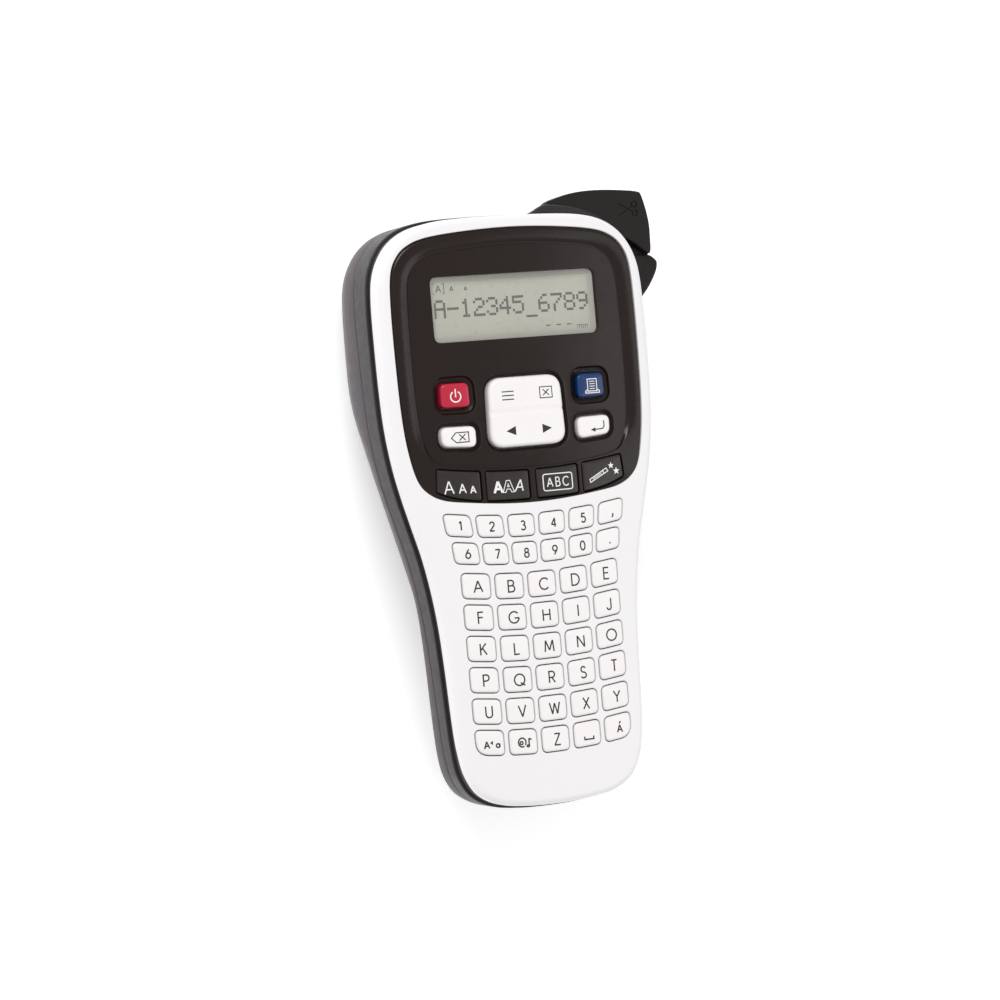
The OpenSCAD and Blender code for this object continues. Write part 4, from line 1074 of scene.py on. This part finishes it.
# ---------------------------------------------------------------- finishes of the pieces kept from the CAD
steel = surface("steel", (176, 178, 180), 0.3, grain=0.2, bump=0.05, mottle=0.05, mottle_size=6, metallic=1)
inner_plastic = surface("inner_plastic", (74, 70, 68), 0.5, bump=0.15, mottle=0.04)
cassette = surface("cassette_plastic", (44, 44, 48), 0.4, bump=0.12, mottle=0.05)
board = surface("circuit_board", (38, 96, 52), 0.35, grain=1.2, bump=0.15, mottle=0.12, mottle_size=3)
chip = surface("chip_black", (36, 36, 40), 0.4, bump=0.15, mottle=0.08, mottle_size=3)
film = surface("flex_film", (188, 120, 46), 0.3, grain=0.6, bump=0.08, mottle=0.08, mottle_size=5)
silicone = surface("silicone", (176, 176, 182), 0.6, bump=0.1, mottle=0.04, mottle_size=9)
gear = surface("gear_plastic", (226, 222, 208), 0.4, bump=0.08, mottle=0.03, mottle_size=6)
rubber = surface("roller_rubber", (34, 34, 36), 0.7, bump=0.25, mottle=0.08, mottle_size=4)
tape = surface("tape_white", (240, 240, 234), 0.45, grain=0.2, bump=0.06, mottle=0.02, mottle_size=4,
               streak=(1, 1, 4))
cell = surface("cell_wrap", (150, 154, 162), 0.3, grain=0.3, bump=0.05, mottle=0.08, mottle_size=6,
               metallic=0.6)
can = surface("motor_can", (160, 164, 170), 0.35, grain=0.15, bump=0.08, mottle=0.06, mottle_size=5,
              metallic=1)
brass = surface("brass", (204, 172, 92), 0.3, bump=0.06, mottle=0.06, mottle_size=4, metallic=1)
ceramic = surface("ceramic", (220, 212, 196), 0.4, bump=0.05, mottle=0.04, mottle_size=3)
spool = surface("ribbon", (92, 92, 100), 0.35, bump=0.06, mottle=0.06, mottle_size=4)
smoke = surface("smoke_window", (120, 120, 116), 0.12, grain=0.6, bump=0.02, mottle=0.03, alpha=0.45)
KEPT = {
    "lcd_cable": film, "head_cable": film, "keypad_mat": silicone, "main_board": board, "board_chips": chip,
    "board_screws": steel, "case_screws": steel, "cassette_window": smoke, "battery_contacts": steel,
    "batteries": cell, "dc_jack": chip, "cassette_tray": inner_plastic, "cassette_base": cassette,
    "cassette_lid": cassette, "tape_roll": tape, "ribbon_spool": spool, "label_tape": tape,
    "chassis_plate": steel,
    "gear_pins": steel, "print_head": ceramic, "head_bracket": steel, "platen_roller": rubber,
    "platen_shaft": steel, "platen_gear": gear, "motor": can, "motor_pinion": brass, "reduction_gear": gear,
    "transfer_gear": gear, "ribbon_spindle": gear, "cutter_blade": steel, "cutter_spring": steel,
    "lever_pivot_pin": steel,
}
for name, material in KEPT.items():
    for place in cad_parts[name].material_slots:
        place.link = "OBJECT"
        place.material = material

# ---------------------------------------------------------------- floor, light and camera
floor = bpy.data.meshes.new("floor")
bm = bmesh.new()
bmesh.ops.create_grid(bm, x_segments=1, y_segments=1, size=4)
bm.to_mesh(floor)
bm.free()
pale = surface("floor", (252, 252, 252), 0.8, grain=2, bump=0.02, mottle=0.003, mottle_size=200)
pale.node_tree.nodes["Principled BSDF"].inputs["Emission Color"].default_value = (1, 1, 1, 1)
pale.node_tree.nodes["Principled BSDF"].inputs["Emission Strength"].default_value = 0.3
floor.materials.append(pale)
ground = bpy.data.objects.new("floor", floor)
ground.location.z = cad_box[0].z - 0.0002
bpy.context.scene.collection.objects.link(ground)

world = bpy.data.worlds.new("studio")
bpy.context.scene.world = world
world.use_nodes = True
world.node_tree.nodes["Background"].inputs["Color"].default_value = (1, 1, 1, 1)
world.node_tree.nodes["Background"].inputs["Strength"].default_value = 0.62
aim = Vector((0, 0, 0.04))
for name, spot, size, power in (("key", (-0.5, 0.9, 1.1), 0.6, 11), ("fill", (0.9, -0.2, 0.9), 0.8, 3),
                                ("front", (-0.7, -0.9, 0.8), 0.8, 2.5)):
    light = bpy.data.lights.new(name, "AREA")
    light.size = size
    light.energy = power
    lamp = bpy.data.objects.new(name, light)
    lamp.location = spot
    lamp.rotation_euler = (aim - Vector(spot)).to_track_quat("-Z", "Y").to_euler()
    bpy.context.scene.collection.objects.link(lamp)
bpy.context.scene.view_settings.view_transform = "Standard"

camera = bpy.data.cameras.new("camera")
camera.lens = 112.5
camera.sensor_width = 36
camera.clip_end = 20
eye = bpy.data.objects.new("camera", camera)
right = Vector((0.9096, -0.088, 0.406))
back = Vector((-0.4067, 0.0109, 0.9135))
up = back.cross(right)
turn = Matrix((right, up, back)).transposed()
eye.matrix_world = Matrix.Translation((-0.4264, 0.0130, 0.9849)) @ turn.to_4x4()
bpy.context.scene.collection.objects.link(eye)
bpy.context.scene.camera = eye
